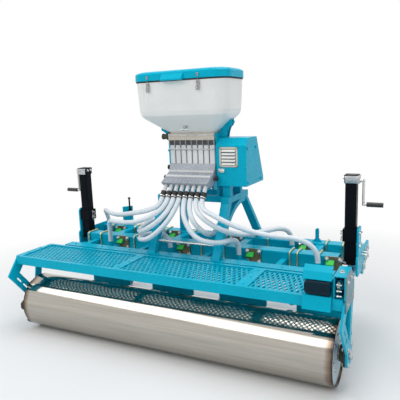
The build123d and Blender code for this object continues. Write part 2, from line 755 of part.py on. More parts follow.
with BuildPart() as seed_boots:
    for x, bar, bar_z in UNITS:
        boot_x = x - BOOT_ASIDE
        boot_r = bar - BAR / 2 - BOOT_OUT
        with BuildSketch(plan(BOOT_LOW)):
            with Locations((boot_x, boot_r)):
                Circle(BOOT_R)
        extrude(amount=BOOT_TOP - BOOT_LOW)
        with BuildSketch(plan(bar_z - 60)):
            with Locations(((boot_x + x) / 2, boot_r + BOOT_OUT / 2 - CLAMP_T)):
                Rectangle(BOOT_ASIDE, 18)
            with Locations((x - CLAMP_W / 4, bar - BAR / 2 - CLAMP_T - 20)):
                Rectangle(CLAMP_W / 2, 40)
        extrude(amount=40)
        with BuildSketch(plan(BOOT_LOW)):
            with Locations((boot_x, boot_r)):
                Circle(BOOT_BORE)
        extrude(amount=BOOT_TOP - BOOT_LOW, mode=Mode.SUBTRACT)
keep(seed_boots, "seed_boots")

with BuildPart() as levelling_boards:
    for x in UNIT_REAR_X:
        with BuildSketch(side(x - BOARD_W / 2)):
            with BuildLine():
                Polyline((BOARD_R, BOARD_TOP), (BOARD_R, BOARD_LOW + 40), (BOARD_R + 30, BOARD_LOW))
            trace(line_width=BOARD_T)
        extrude(amount=BOARD_W)
keep(levelling_boards, "levelling_boards")

STRAP_TOP = REAR_BAR_Z - BAR / 2
with BuildPart() as board_straps:
    for x in UNIT_REAR_X:
        for out in BOARD_STRAP_X:
            with BuildSketch(side(x + out - BOARD_STRAP / 2)):
                with BuildLine():
                    Polyline(
                        (BOARD_R + BOARD_T / 2, BOARD_TOP - 10),
                        (BOARD_R + BOARD_T / 2, BOARD_TOP - 90),
                        (REAR_BAR - 20, STRAP_TOP - 70),
                        (REAR_BAR + 40, STRAP_TOP),
                        (REAR_BAR - 40, STRAP_TOP),
                        (REAR_BAR - 40, STRAP_TOP - 40),
                        close=True,
                    )
                make_face()
            extrude(amount=BOARD_STRAP)
keep(board_straps, "board_straps")

# Hopper stand
LEG_END = STAND_TOP - STAND_BAR_H
LEG_H = LEG_END - DECK_TOP
LEG_LEAN = STAND_REAR + STAND_LEG_TOP - LEG_FOOT[1]
ARCH_LOW = (LEG_FOOT[1] + ARCH_RISE * LEG_LEAN, DECK_TOP + ARCH_RISE * LEG_H)
ARCH_HIGH = (STAND_FRONT - 55, LEG_END - ARCH_W / 3)
ARCH_L = ARCH_HIGH[0] - ARCH_LOW[0]
ARCH_H = ARCH_HIGH[1] - ARCH_LOW[1]
ARCH_MID = (ARCH_LOW[0] + 0.34 * ARCH_L, ARCH_LOW[1] + 0.66 * ARCH_H)
with BuildPart() as stand_rear_legs:
    with BuildSketch(side(STAND_X - STAND_W / 2)):
        with BuildLine():
            Polyline(
                (LEG_FOOT[0], DECK_TOP),
                (LEG_FOOT[1], DECK_TOP),
                (STAND_REAR + STAND_LEG_TOP, LEG_END),
                (STAND_REAR, LEG_END),
                close=True,
            )
        make_face()
        with BuildLine():
            ThreePointArc(ARCH_LOW, ARCH_MID, ARCH_HIGH)
        trace(line_width=ARCH_W)
        with Locations(((STAND_REAR + STAND_FRONT) / 2, LEG_END + STAND_TOP / 2)):
            Rectangle(STAND_TOP, STAND_TOP, mode=Mode.SUBTRACT)
    extrude(amount=STAND_W)
    mirror(about=Plane.YZ)
keep(stand_rear_legs, "stand_rear_legs")

with BuildPart() as stand_top_bars:
    with BuildSketch(side(STAND_X - STAND_W / 2)):
        with Locations(((STAND_REAR + STAND_FRONT) / 2, STAND_TOP - STAND_BAR_H / 2)):
            Rectangle(STAND_FRONT - STAND_REAR, STAND_BAR_H)
    extrude(amount=STAND_W)
    mirror(about=Plane.YZ)
keep(stand_top_bars, "stand_top_bars")

with BuildPart() as stand_cross_bars:
    for r in CROSS_R:
        with BuildSketch(side(-STAND_X + STAND_W / 2)):
            with Locations((r, STAND_TOP - STAND_BAR_H / 2)):
                Rectangle(CROSS_W, STAND_BAR_H)
        extrude(amount=2 * STAND_X - STAND_W)
keep(stand_cross_bars, "stand_cross_bars")

LEG_HEAD = Vector(STAND_X, ROLLER_Y + STAND_FRONT - 30, STAND_TOP - STAND_BAR_H)
LEG_BASE = Vector(FRONT_LEG_X, ROLLER_Y + FRONT_BAR + 20, FRONT_TOP)
with BuildPart() as stand_front_legs:
    with BuildSketch(Plane(origin=LEG_BASE)):
        Rectangle(FRONT_LEG_W, FRONT_LEG_T)
    with BuildSketch(Plane(origin=LEG_HEAD)):
        Rectangle(STAND_W, FRONT_LEG_T)
    loft(ruled=True)
    mirror(about=Plane.YZ)
keep(stand_front_legs, "stand_front_legs")

LEG_SLOPE = (STAND_REAR - LEG_FOOT[0]) / (STAND_TOP - STAND_BAR_H - DECK_TOP)
ROD_AT = (LEG_FOOT[0] + LEG_FOOT[1]) / 2 + LEG_SLOPE * (ROD_Z - DECK_TOP)
with BuildPart() as stand_rod:
    with BuildSketch(side(-STAND_X + STAND_W / 2)):
        with Locations((ROD_AT, ROD_Z)):
            Circle(ROD_R)
    extrude(amount=2 * STAND_X - STAND_W)
keep(stand_rod, "stand_rod")

# Seed meter: cheeks with saddles that hold the funnel
CHEEK_OUT = CHEEK_X + CHEEK_T
FUNNEL_HALF = TANK_W / 2 - KNEE_STEPS[0][1]
FUNNEL_TOP = FUNNEL_H - KNEE_STEPS[0][0]
with BuildPart() as meter_cheeks:
    with BuildSketch(side(CHEEK_X)):
        with BuildLine():
            Polyline(
                (CHEEK_REAR, STAND_TOP),
                (CHEEK_FRONT, STAND_TOP),
                (CHEEK_FRONT - CHEEK_LEAN, CHEEK_TOP),
                (CHEEK_REAR, CHEEK_TOP),
                close=True,
            )
        make_face()
    extrude(amount=CHEEK_T)
    mirror(about=Plane.YZ)
    for hand in (-1, 1):
        rise = FUNNEL_TOP / (FUNNEL_HALF + hand * TANK_X - OUTLET_W / 2)
        inner = TANK_LOW - SADDLE_ROOM + rise * (CHEEK_OUT - OUTLET_W / 2)
        outer = TANK_LOW - SADDLE_ROOM + rise * (SADDLE_OUT - OUTLET_W / 2)
        for r in SADDLE_R:
            with BuildSketch(back(r)):
                with BuildLine():
                    Polyline(
                        (hand * CHEEK_OUT, TANK_LOW - SADDLE_LOW),
                        (hand * CHEEK_OUT, inner),
                        (hand * SADDLE_OUT, outer),
                        (hand * SADDLE_OUT, outer - SADDLE_LIP),
                        close=True,
                    )
                make_face()
            extrude(amount=SADDLE_T)
keep(meter_cheeks, "meter_cheeks")

with BuildPart() as meter_block:
    with BuildSketch(side(-CHEEK_X)):
        with BuildLine():
            Polyline(
                (METER_REAR, METER_LOW),
                (METER_FRONT, METER_LOW),
                (METER_FRONT, TANK_LOW),
                (METER_REAR - METER_LIP, TANK_LOW),
                (METER_REAR - METER_LIP, TANK_LOW - METER_LIP_H),
                (METER_REAR, TANK_LOW - METER_LIP_H),
                close=True,
            )
        make_face()
    extrude(amount=2 * CHEEK_X)
keep(meter_block, "meter_block")

OUTLET_X = [(i - (OUTLETS - 1) / 2) * OUTLET_PITCH for i in range(OUTLETS)]
with BuildPart() as seed_chutes:
    with BuildSketch(plan(CHUTE_LOW)):
        for x in OUTLET_X:
            with Locations((x, METER_REAR + CHUTE_D / 2)):
                RectangleRounded(CHUTE_W, CHUTE_D, 8)
    extrude(amount=METER_LOW - CHUTE_LOW)
keep(seed_chutes, "seed_chutes")

FACE_R = NOZZLE_FACE * NOZZLE_DIR[1]
FACE_Z = NOZZLE_FACE * NOZZLE_DIR[0]
with BuildPart() as meter_manifold:
    with BuildSketch(side(-CHEEK_X)):
        with BuildLine():
            Polyline(
                (METER_REAR, CHUTE_LOW),
                (METER_REAR + CHUTE_D, CHUTE_LOW),
                (METER_REAR + CHUTE_D, CHUTE_LOW - MANIFOLD_FRONT_H),
                (NOZZLE_AT[0] - FACE_R, NOZZLE_AT[1] + FACE_Z),
                (NOZZLE_AT[0] + FACE_R, NOZZLE_AT[1] - FACE_Z),
                (METER_REAR - MANIFOLD_OUT, CHUTE_LOW - MANIFOLD_REAR_H),
                close=True,
            )
        make_face()
    extrude(amount=2 * CHEEK_X)
keep(meter_manifold, "meter_manifold")


def along_nozzle(x, distance):
    """Plane square to a nozzle, at a distance from the manifold."""
    r = NOZZLE_AT[0] + NOZZLE_DIR[0] * distance
    z = NOZZLE_AT[1] + NOZZLE_DIR[1] * distance
    return Plane(origin=(x, ROLLER_Y + r, z), x_dir=(1, 0, 0), z_dir=(0, *NOZZLE_DIR))


with BuildPart() as meter_nozzles:
    for x in OUTLET_X:
        with BuildSketch(along_nozzle(x, 0)):
            Circle(NOZZLE_R)
            Circle(NOZZLE_BORE, mode=Mode.SUBTRACT)
        extrude(amount=NOZZLE_LEN)
keep(meter_nozzles, "meter_nozzles")

with BuildPart() as hose_cuffs:
    for x in OUTLET_X:
        with BuildSketch(along_nozzle(x, CUFF_AT)):
            Circle(CUFF_R)
        extrude(amount=CUFF_LEN)
        with BuildSketch(along_nozzle(x, CUFF_AT)):
            Circle(NOZZLE_R)
        extrude(amount=NOZZLE_LEN - CUFF_AT, mode=Mode.SUBTRACT)
keep(hose_cuffs, "hose_cuffs")

# Hopper tank, a shell open at the top and at its outlet, rounded at the knee
with BuildPart() as hopper_tank:
    for wall in (0.0, TANK_WALL):
        with BuildSketch(plan(TANK_LOW)):
            with Locations((0, OUTLET_MID)):
                RectangleRounded(OUTLET_W - 2 * wall, OUTLET_D - 2 * wall, OUTLET_CORNER - wall)
        for drop, inset in [*KNEE_STEPS, (-TANK_WALL_H, 0.0)]:
            width = TANK_W - 2 * inset - 2 * wall
            depth = TANK_D - 2 * inset - 2 * wall
            with BuildSketch(plan(TANK_KNEE - drop)):
                with Locations((TANK_X, TANK_MID)):
                    RectangleRounded(width, depth, TANK_CORNER - wall)
        loft(ruled=True, mode=Mode.SUBTRACT if wall else Mode.ADD)
keep(hopper_tank, "hopper_tank")

# Lid: a crowned sheet shell with a grip at the rear and two hinge lugs at the front
HINGE = (TANK_MID + TANK_D / 2 + HINGE_OUT, TANK_TOP + LID_ROOM + HINGE_UP)
LID_LOW = TANK_TOP + LID_ROOM
LID_REAR = TANK_MID - TANK_D / 2 - LID_OVER
with BuildPart() as hopper_lid:
    for sheet in (0.0, LID_SHEET):
        for height, inset in LID_STEPS:
            width = TANK_W + 2 * (LID_OVER - inset - sheet)
            depth = TANK_D + 2 * (LID_OVER - inset - sheet)
            corner = min(TANK_CORNER + LID_OVER - sheet, (min(width, depth) - LID_FLAT) / 2)
            with BuildSketch(plan(LID_LOW + max(0.0, height - sheet))):
                with Locations((TANK_X, TANK_MID)):
                    RectangleRounded(width, depth, corner)
        loft(ruled=True, mode=Mode.SUBTRACT if sheet else Mode.ADD)
    with BuildSketch(side(PAD_X - PAD_W / 2)):
        with BuildLine():
            Polyline(
                (LID_REAR, LID_LOW - PAD_UNDER),
                (LID_REAR, LID_LOW - PAD_UNDER + PAD_H),
                (LID_REAR - PAD_L, LID_LOW - PAD_UNDER + PAD_EDGE),
                (LID_REAR - PAD_L, LID_LOW - PAD_UNDER),
                close=True,
            )
        make_face()
    extrude(amount=PAD_W)
    for x in (TANK_X - HINGE_X, TANK_X + HINGE_X):
        with BuildSketch(side(x - LUG_W / 2)):
            with Locations(HINGE):
                Circle(HINGE_UP)
            with Locations(((HINGE[0] + TANK_MID + TANK_D / 2) / 2, HINGE[1])):
                Rectangle(HINGE_OUT, 2 * HINGE_UP)
            with Locations(HINGE):
                Circle(HINGE_R + RUN_FIT, mode=Mode.SUBTRACT)
        extrude(amount=LUG_W)
keep(hopper_lid, "hopper_lid")

with BuildPart() as lid_hinges:
    for x in (TANK_X - HINGE_X, TANK_X + HINGE_X):
        with BuildSketch(side(x - HINGE_LEN / 2)):
            with Locations(HINGE):
                Circle(HINGE_R)
        extrude(amount=HINGE_LEN)
        for out in (-HINGE_LEN / 2, HINGE_LEN / 2 - 8):
            with BuildSketch(side(x + out)):
                with BuildLine():
                    Polyline(
                        (TANK_MID + TANK_D / 2, TANK_TOP - 8),
                        (HINGE[0] - HINGE_R, TANK_TOP - 8),
                        (HINGE[0] - HINGE_R, HINGE[1]),
                        (HINGE[0], HINGE[1] + HINGE_R),
                        (HINGE[0] + HINGE_R, HINGE[1] + HINGE_R),
                        (HINGE[0] + HINGE_R, TANK_TOP - 30),
                        (TANK_MID + TANK_D / 2, TANK_TOP - 70),
                        close=True,
                    )
                make_face()
            extrude(amount=8)
keep(lid_hinges, "lid_hinges")

# Drive housing on four feet
HOUSING_LOW = STAND_TOP + HOUSING_LIFT
HOUSING_TOP = HOUSING_LOW + HOUSING_H
with BuildPart() as drive_housing:
    with BuildSketch(side(HOUSING_IN)):
        with BuildLine():
            Polyline(
                (HOUSING_REAR, HOUSING_LOW),
                (HOUSING_REAR, HOUSING_TOP - HOUSING_BEVEL_H),
                (HOUSING_REAR + HOUSING_BEVEL, HOUSING_TOP),
                (HOUSING_FRONT - HOUSING_CUT, HOUSING_TOP),
                (HOUSING_FRONT, HOUSING_TOP - HOUSING_CUT_H),
                (HOUSING_FRONT, HOUSING_LOW),
                close=True,
            )
        make_face()
    extrude(amount=HOUSING_OUT - HOUSING_IN)
    with BuildSketch(plan(STAND_TOP)):
        for r in HOUSING_FOOT_R:
            with Locations((STAND_X, r)):
                Rectangle(STAND_W, HOUSING_FOOT)
    extrude(amount=HOUSING_LIFT)
keep(drive_housing, "drive_housing")

# Three-point hitch
with BuildPart() as hitch_ears:
    with BuildSketch(side(EAR_IN)):
        with BuildLine():
            Polyline(
                (CROSS_R[1] - CROSS_W / 2, STAND_TOP),
                (CROSS_R[1] + CROSS_W / 2, STAND_TOP),
                (TOP_LINK_AT[0], TOP_LINK_AT[1] - TOP_LINK_NOSE),
                (TOP_LINK_AT[0], TOP_LINK_AT[1] + TOP_LINK_NOSE),
                (CROSS_R[1] - CROSS_W / 2, STAND_TOP + 80),
                close=True,
            )
        make_face()
        with Locations(TOP_LINK_AT):
            Circle(TOP_LINK_NOSE)
            Circle(TOP_LINK_R, mode=Mode.SUBTRACT)
    extrude(amount=EAR_T)
    mirror(about=Plane.YZ)
keep(hitch_ears, "hitch_ears")

with BuildPart() as lower_link_plates:
    with BuildSketch(side(LINK_SHOULDER - LINK_PLATE_T)):
        with BuildLine():
            Polyline(
                (FRONT_BAR + BAR / 2, FRONT_BAR_Z + BAR / 2),
                (FRONT_BAR + BAR / 2, FRONT_BAR_Z - BAR / 2 - 60),
                (LINK_AT[0], LINK_AT[1] - LINK_NOSE),
                (LINK_AT[0], LINK_AT[1] + LINK_NOSE),
                close=True,
            )
        make_face()
        with Locations(LINK_AT):
            Circle(LINK_NOSE)
            Circle(LINK_ROOT_R, mode=Mode.SUBTRACT)
    extrude(amount=LINK_PLATE_T)
    mirror(about=Plane.YZ)
keep(lower_link_plates, "lower_link_plates")

with BuildPart() as lower_link_pins:
    with BuildSketch(side(LINK_SHOULDER - LINK_PLATE_T)):
        with Locations(LINK_AT):
            Circle(LINK_ROOT_R)
    extrude(amount=LINK_PLATE_T)
    with BuildSketch(side(LINK_SHOULDER)):
        with Locations(LINK_AT):
            Circle(LINK_PIN_R)
    extrude(amount=LINK_PIN_LEN)
    mirror(about=Plane.YZ)
keep(lower_link_pins, "lower_link_pins")

# Seed hoses. Each runs from its cuff to a boot; the points between are in X, distance ahead of
# the roller axis and height, chosen from the photograph.
HOSE_ROUTES = [
    [(-250, 208, 874), (-440, 290, 828), (-690, 460, 762), (-920, 620, 745), (-1020, 725, 735)],
    [(-190, 178, 846), (-370, 210, 778), (-590, 300, 750), (-715, 380, 740)],
    [(-128, 166, 822), (-280, 182, 730), (-400, 300, 700), (-450, 480, 705), (-478, 640, 705)],
    [(-76, 160, 802), (-215, 148, 685), (-340, 215, 660), (-385, 320, 660), (-325, 398, 665)],
    [(60, 165, 830), (150, 152, 715), (275, 225, 680), (335, 330, 690)],
    [(115, 175, 830), (165, 240, 740), (170, 350, 700), (140, 500, 700), (80, 660, 705)],
    [(180, 190, 850), (300, 240, 765), (390, 370, 710), (480, 550, 705), (570, 690, 705)],
    [(240, 198, 882), (390, 225, 806), (590, 300, 740), (780, 370, 725)],
]
HOSE_UNITS = [4, 0, 5, 1, 2, 6, 7, 3]     # each hose's place in UNITS
HOSE_LEAD = 60.0      # straight run out of the cuff
HOSE_DROP = 80.0      # straight run down into the boot


def bend_radii(points):
    """Largest even radius at each corner of a route."""
    corners = []
    for before, here, after in zip(points, points[1:], points[2:]):
        run_in = Vector(*here) - Vector(*before)
        run_out = Vector(*after) - Vector(*here)
        half_turn = math.radians(run_in.get_angle(run_out) / 2)
        corners.append(0.45 * min(run_in.length, run_out.length) / math.tan(half_turn))
    return corners


for number, (middle, unit) in enumerate(zip(HOSE_ROUTES, HOSE_UNITS)):
    start = along_nozzle(OUTLET_X[number], CUFF_AT + CUFF_LEN)
    lead = along_nozzle(OUTLET_X[number], CUFF_AT + CUFF_LEN + HOSE_LEAD)
    unit_x, bar, bar_z = UNITS[unit]
    end = (unit_x - BOOT_ASIDE, ROLLER_Y + bar - BAR / 2 - BOOT_OUT, BOOT_TOP)
    drop = (end[0], end[1], BOOT_TOP + HOSE_DROP)
    between = [(x, ROLLER_Y + r, z) for x, r, z in middle]
    route = [tuple(start.origin), tuple(lead.origin), *between, drop, end]
    radii = bend_radii(route)
    with BuildPart() as seed_hose:
        with BuildLine() as path:
            FilletPolyline(*route, radius=radii)
        with BuildSketch(start):
            Circle(HOSE_R)
        sweep(path=path.line)
    keep(seed_hose, f"seed_hose_{number + 1}")
    print(f"hose {number + 1}: {path.wires()[0].length:.0f} mm, radii", [round(r) for r in radii])
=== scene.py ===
import json
import math
import random

import bmesh
import bpy
from mathutils import Matrix, Vector


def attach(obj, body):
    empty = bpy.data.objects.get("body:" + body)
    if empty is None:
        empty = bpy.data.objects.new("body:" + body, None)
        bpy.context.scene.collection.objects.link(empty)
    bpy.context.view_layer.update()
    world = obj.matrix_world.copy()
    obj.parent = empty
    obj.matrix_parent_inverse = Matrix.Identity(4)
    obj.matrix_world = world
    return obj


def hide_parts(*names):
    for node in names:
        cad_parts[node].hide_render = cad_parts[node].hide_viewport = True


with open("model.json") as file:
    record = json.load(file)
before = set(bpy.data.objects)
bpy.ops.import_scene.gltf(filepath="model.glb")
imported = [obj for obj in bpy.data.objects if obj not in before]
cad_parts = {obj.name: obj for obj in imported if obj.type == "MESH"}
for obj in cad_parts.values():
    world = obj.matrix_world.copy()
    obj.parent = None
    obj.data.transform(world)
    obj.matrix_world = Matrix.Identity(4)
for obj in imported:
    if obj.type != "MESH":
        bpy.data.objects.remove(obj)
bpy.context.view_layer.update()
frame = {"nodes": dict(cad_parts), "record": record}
NODES = frame["nodes"]
random.seed(7)          # turns the hexagon heads

# Places that several pieces share, in millimetres. Below, x is to the right, r is the distance
# ahead of the roller axis and z is the height, and profiles of turned shapes are rows of distance
# along the axis and radius.
AXIS_BACK = 420.0       # roller axis, behind the frame's origin
AXIS_Z = 190.0          # height of the roller axis
DRUM_END = 1100.0       # x of the drum's rims
PLATE_X = 1117.0        # outer face of the side plates
ARM_X = 1158.0          # outer face of the roller arms
DECK_Z = 564.0          # top of the walkway
BAR_HALF = 50.0         # half a toolbar's width
JACK_X = 1060.0
JACK_R = 550.0
RIM_X = -30.0           # middle of the hopper's rim
RIM_R = 485.0
RIM_HALF_X = 350.0
RIM_HALF_R = 180.0
RIM_CORNER = 85.0
CHEEK_X = 189.0         # outer face of the meter's cheeks
HOUSING_R = 420.0       # rear face of the drive housing
HANDS = (-1, 1)         # left and right
X = Vector((1, 0, 0))
Y = Vector((0, 1, 0))
Z = Vector((0, 0, 1))
MAIN = "main_frame"
DECK = "roller_frame"


def at(x, r, z):
    """Point in metres from x, r and z in millimetres."""
    return Vector((x / 1000, (r - AXIS_BACK) / 1000, z / 1000))


def add(name, data):
    """New object in the scene."""
    obj = bpy.data.objects.new(name, data)
    bpy.context.scene.collection.objects.link(obj)
    return obj


# Camera at the photograph's viewing angle
CAM_POS = Vector((1.584, -3.008, 1.547))
CAM_YAW = math.radians(26.96)
CAM_PITCH = math.radians(10.42)
CAM_ROLL = math.radians(-2.12)
CAM_FOCAL = 489.9       # pixels
IMAGE_W = 400           # pixels
SENSOR_W = 36.0         # millimetres
look = Vector((
    -math.sin(CAM_YAW) * math.cos(CAM_PITCH),
    math.cos(CAM_YAW) * math.cos(CAM_PITCH),
    -math.sin(CAM_PITCH),
))
level = Vector((math.cos(CAM_YAW), math.sin(CAM_YAW), 0))
upward = level.cross(look)
cam_x = math.cos(CAM_ROLL) * level + math.sin(CAM_ROLL) * upward
cam_y = -math.sin(CAM_ROLL) * level + math.cos(CAM_ROLL) * upward
cam_data = bpy.data.cameras.new("camera")
cam_data.sensor_width = SENSOR_W
cam_data.sensor_fit = "HORIZONTAL"
cam_data.lens = CAM_FOCAL / IMAGE_W * SENSOR_W
cam = add("camera", cam_data)
cam_turn = Matrix((cam_x, cam_y, -look)).transposed().to_4x4()
cam.matrix_world = Matrix.Translation(CAM_POS) @ cam_turn
bpy.context.scene.camera = cam


# Materials
class Paint:
    """A procedural material in the making: one shader and the nodes that feed it."""

    def __init__(self, name, rough, metallic=0.0):
        self.mat = bpy.data.materials.new(name)
        self.mat.use_nodes = True
        self.tree = self.mat.node_tree
        self.shader = self.tree.nodes["Principled BSDF"]
        self.shader.inputs["Roughness"].default_value = rough
        self.shader.inputs["Metallic"].default_value = metallic
        self.coord = self.node("ShaderNodeTexCoord").outputs["Object"]

    def node(self, kind, **settings):
        made = self.tree.nodes.new(kind)
        for key, value in settings.items():
            setattr(made, key, value)
        return made

    def link(self, source, target):
        self.tree.links.new(source, target)

    def noise(self, scale, detail=3.0, stretch=None):
        made = self.node("ShaderNodeTexNoise")
        made.inputs["Scale"].default_value = scale
        made.inputs["Detail"].default_value = detail
        source = self.coord
        if stretch:
            mapping = self.node("ShaderNodeMapping")
            mapping.inputs["Scale"].default_value = stretch
            self.link(source, mapping.inputs["Vector"])
            source = mapping.outputs["Vector"]
        self.link(source, made.inputs["Vector"])
        return made.outputs["Fac"]

    def ramp(self, source, low, high):
        """0 below low, 1 above high."""
        made = self.node("ShaderNodeMapRange")
        made.inputs["From Min"].default_value = low
        made.inputs["From Max"].default_value = high
        self.link(source, made.inputs["Value"])
        return made.outputs["Result"]

    def math(self, what, first, second=None):
        made = self.node("ShaderNodeMath", operation=what)
        for socket, value in zip(made.inputs, (first, second)):
            if value is None:
                continue
            if isinstance(value, (int, float)):
                socket.default_value = value
            else:
                self.link(value, socket)
        return made.outputs[0]

    def mix(self, share, first, second):
        """Blend of two colours, each a constant or a socket."""
        made = self.node("ShaderNodeMix", data_type="RGBA")
        self.link(share, made.inputs[0])
        for socket, value in ((made.inputs[6], first), (made.inputs[7], second)):
            if isinstance(value, tuple):
                socket.default_value = (*value, 1.0)
            else:
                self.link(value, socket)
        return made.outputs[2]

    def axis(self, letter):
        made = self.node("ShaderNodeSeparateXYZ")
        self.link(self.coord, made.inputs[0])
        return made.outputs[letter]

    def colour(self, source):
        self.link(source, self.shader.inputs["Base Color"])

    def edges(self, radius):
        """Rounded shading normal, and a mask of the edges where paint wears."""
        bevel = self.node("ShaderNodeBevel", samples=4)
        bevel.inputs["Radius"].default_value = radius
        face = self.node("ShaderNodeNewGeometry")
        dot = self.node("ShaderNodeVectorMath", operation="DOT_PRODUCT")
        self.link(bevel.outputs["Normal"], dot.inputs[0])
        self.link(face.outputs["Normal"], dot.inputs[1])
        return bevel.outputs["Normal"], self.math("SUBTRACT", 1.0, dot.outputs["Value"])

    def upness(self):
        """1 on faces that look up."""
        face = self.node("ShaderNodeNewGeometry")
        parts = self.node("ShaderNodeSeparateXYZ")
        self.link(face.outputs["Normal"], parts.inputs[0])
        return parts.outputs["Z"]

    def bump(self, height, strength, distance, normal=None):
        made = self.node("ShaderNodeBump")
        made.inputs["Strength"].default_value = strength
        made.inputs["Distance"].default_value = distance
        self.link(height, made.inputs["Height"])
        if normal is not None:
            self.link(normal, made.inputs["Normal"])
        self.link(made.outputs["Normal"], self.shader.inputs["Normal"])

    def rough(self, source, low, high):
        made = self.node("ShaderNodeMapRange")
        made.inputs["To Min"].default_value = low
        made.inputs["To Max"].default_value = high
        self.link(source, made.inputs["Value"])
        self.link(made.outputs["Result"], self.shader.inputs["Roughness"])


TEAL = (0.0, 0.44, 0.62)
BARE_METAL = (0.42, 0.43, 0.42)
DUST = (0.5, 0.55, 0.56)
RUST = (0.2, 0.09, 0.04)
WELD_TINT = (0.2, 0.13, 0.08)
WELD_DARK = (0.05, 0.045, 0.045)
SCUFF = (0.3, 0.28, 0.25)
GRIP_BLACK = (0.018, 0.018, 0.019)
GRIP_X = 1151.5         # inner end of the crank's grip
FLANGE_Z = 1343.5       # lower edge of the meter's flange


def shade(colour, factor):
    return tuple(min(1.0, channel * factor) for channel in colour)


def enamel(name, colour, rough=0.28, coat=0.0, dust=0.03, wear=0.12, gloss=0.1):
    """Sprayed paint: cloudy colour, orange peel, dust on level faces and bare worn edges."""
    p = Paint(name, rough)
    cloud = p.ramp(p.noise(3.5, 4.0), 0.3, 0.7)
    base = p.mix(cloud, shade(colour, 0.94), shade(colour, 1.05))
    normal, edge = p.edges(0.003)
    chips = p.ramp(p.noise(55.0, 5.0), 0.55, 0.68)
    worn = p.math("MULTIPLY", p.ramp(edge, 0.1, 0.3), chips)
    base = p.mix(p.math("MULTIPLY", worn, wear), base, BARE_METAL)
    level_faces = p.ramp(p.upness(), 0.55, 1.0)
    settled = p.math("MULTIPLY", level_faces, p.ramp(p.noise(9.0, 6.0), 0.42, 0.8))
    p.colour(p.mix(p.math("MULTIPLY", settled, dust), base, DUST))
    p.rough(p.ramp(p.noise(24.0, 4.0), 0.3, 0.75), rough * 0.75, rough * 1.5)
    p.bump(p.noise(420.0, 2.0), 0.12, 0.0006, normal)
    p.shader.inputs["Coat Weight"].default_value = coat
    p.shader.inputs["Coat Roughness"].default_value = 0.08
    p.shader.inputs["Specular IOR Level"].default_value = gloss
    return p.mat


def plated(name, colour, rough=0.3, spangle=140.0, tarnish=(0.3, 0.28, 0.24)):
    """Zinc plated steel: crystal blotches, fine scratches and a little tarnish."""
    p = Paint(name, rough, 1.0)
    cells = p.node("ShaderNodeTexVoronoi")
    cells.inputs["Scale"].default_value = spangle
    p.link(p.coord, cells.inputs["Vector"])
    bright = p.node("ShaderNodeSeparateColor")
    p.link(cells.outputs["Color"], bright.inputs[0])
    base = p.mix(bright.outputs[0], shade(colour, 0.85), shade(colour, 1.12))
    spots = p.ramp(p.noise(30.0, 5.0), 0.56, 0.8)
    p.colour(p.mix(p.math("MULTIPLY", spots, 0.6), base, tarnish))
    p.rough(p.ramp(p.noise(160.0, 3.0), 0.3, 0.7), rough * 0.7, rough * 1.5)
    normal, _ = p.edges(0.0015)
    p.bump(p.noise(300.0, 2.0), 0.1, 0.0005, normal)
    return p.mat


def moulded(name, colour, rough=0.4, mottle=0.06, soft=0.0, clear=0.0, bevel=0.003, gloss=0.5):
    """Moulded plastic or rubber: fine grain, slight mottling and scuffs."""
    p = Paint(name, rough)
    cloud = p.ramp(p.noise(7.0, 5.0), 0.3, 0.7)
    base = p.mix(cloud, shade(colour, 1 - mottle), shade(colour, 1 + mottle))
    scuff = p.ramp(p.noise(40.0, 6.0, (1.0, 1.0, 0.3)), 0.62, 0.8)
    p.colour(p.mix(p.math("MULTIPLY", scuff, 0.25), base, shade(colour, 0.7)))
    p.rough(p.ramp(p.noise(60.0, 3.0), 0.3, 0.7), rough * 0.8, rough * 1.3)
    normal, _ = p.edges(bevel)
    p.bump(p.noise(260.0, 3.0), 0.1, 0.0008, normal)
    p.shader.inputs["Specular IOR Level"].default_value = gloss
    if soft:
        p.shader.inputs["Subsurface Weight"].default_value = soft
        p.shader.inputs["Subsurface Radius"].default_value = (0.02, 0.02, 0.018)
        p.shader.inputs["Subsurface Scale"].default_value = 0.5
    if clear:
        p.shader.inputs["Transmission Weight"].default_value = clear
        p.shader.inputs["IOR"].default_value = 1.4
    return p.mat


def stainless_drum():
    """Polished stainless sheet: faint drawn lines, scuffs and brown weld tint at the rims."""
    p = Paint("stainless_polished", 0.1, 1.0)
    drawn = p.ramp(p.noise(30.0, 5.0, (0.06, 2.2, 2.2)), 0.3, 0.7)
    base = p.mix(drawn, (0.395, 0.37, 0.325), (0.485, 0.458, 0.41))
    rim = DRUM_END / 1000
    wander = p.math("MULTIPLY", p.noise(14.0, 3.0), 0.03)
    reach = p.math("ADD", p.math("ABSOLUTE", p.axis("X")), wander)
    tinted = p.ramp(reach, rim - 0.03, rim - 0.005)
    base = p.mix(p.math("MULTIPLY", tinted, 0.8), base, WELD_TINT)
    burnt = p.ramp(reach, rim - 0.002, rim + 0.012)
    base = p.mix(p.math("MULTIPLY", burnt, 0.85), base, WELD_DARK)
    marks = p.ramp(p.noise(9.0, 8.0, (1.0, 2.0, 2.0)), 0.62, 0.78)
    p.colour(p.mix(p.math("MULTIPLY", marks, 0.18), base, SCUFF))
    p.rough(p.ramp(p.noise(40.0, 4.0, (0.6, 2.0, 2.0)), 0.25, 0.75), 0.06, 0.16)
    p.bump(p.noise(5.0, 2.0), 0.05, 0.004)
    return p.mat


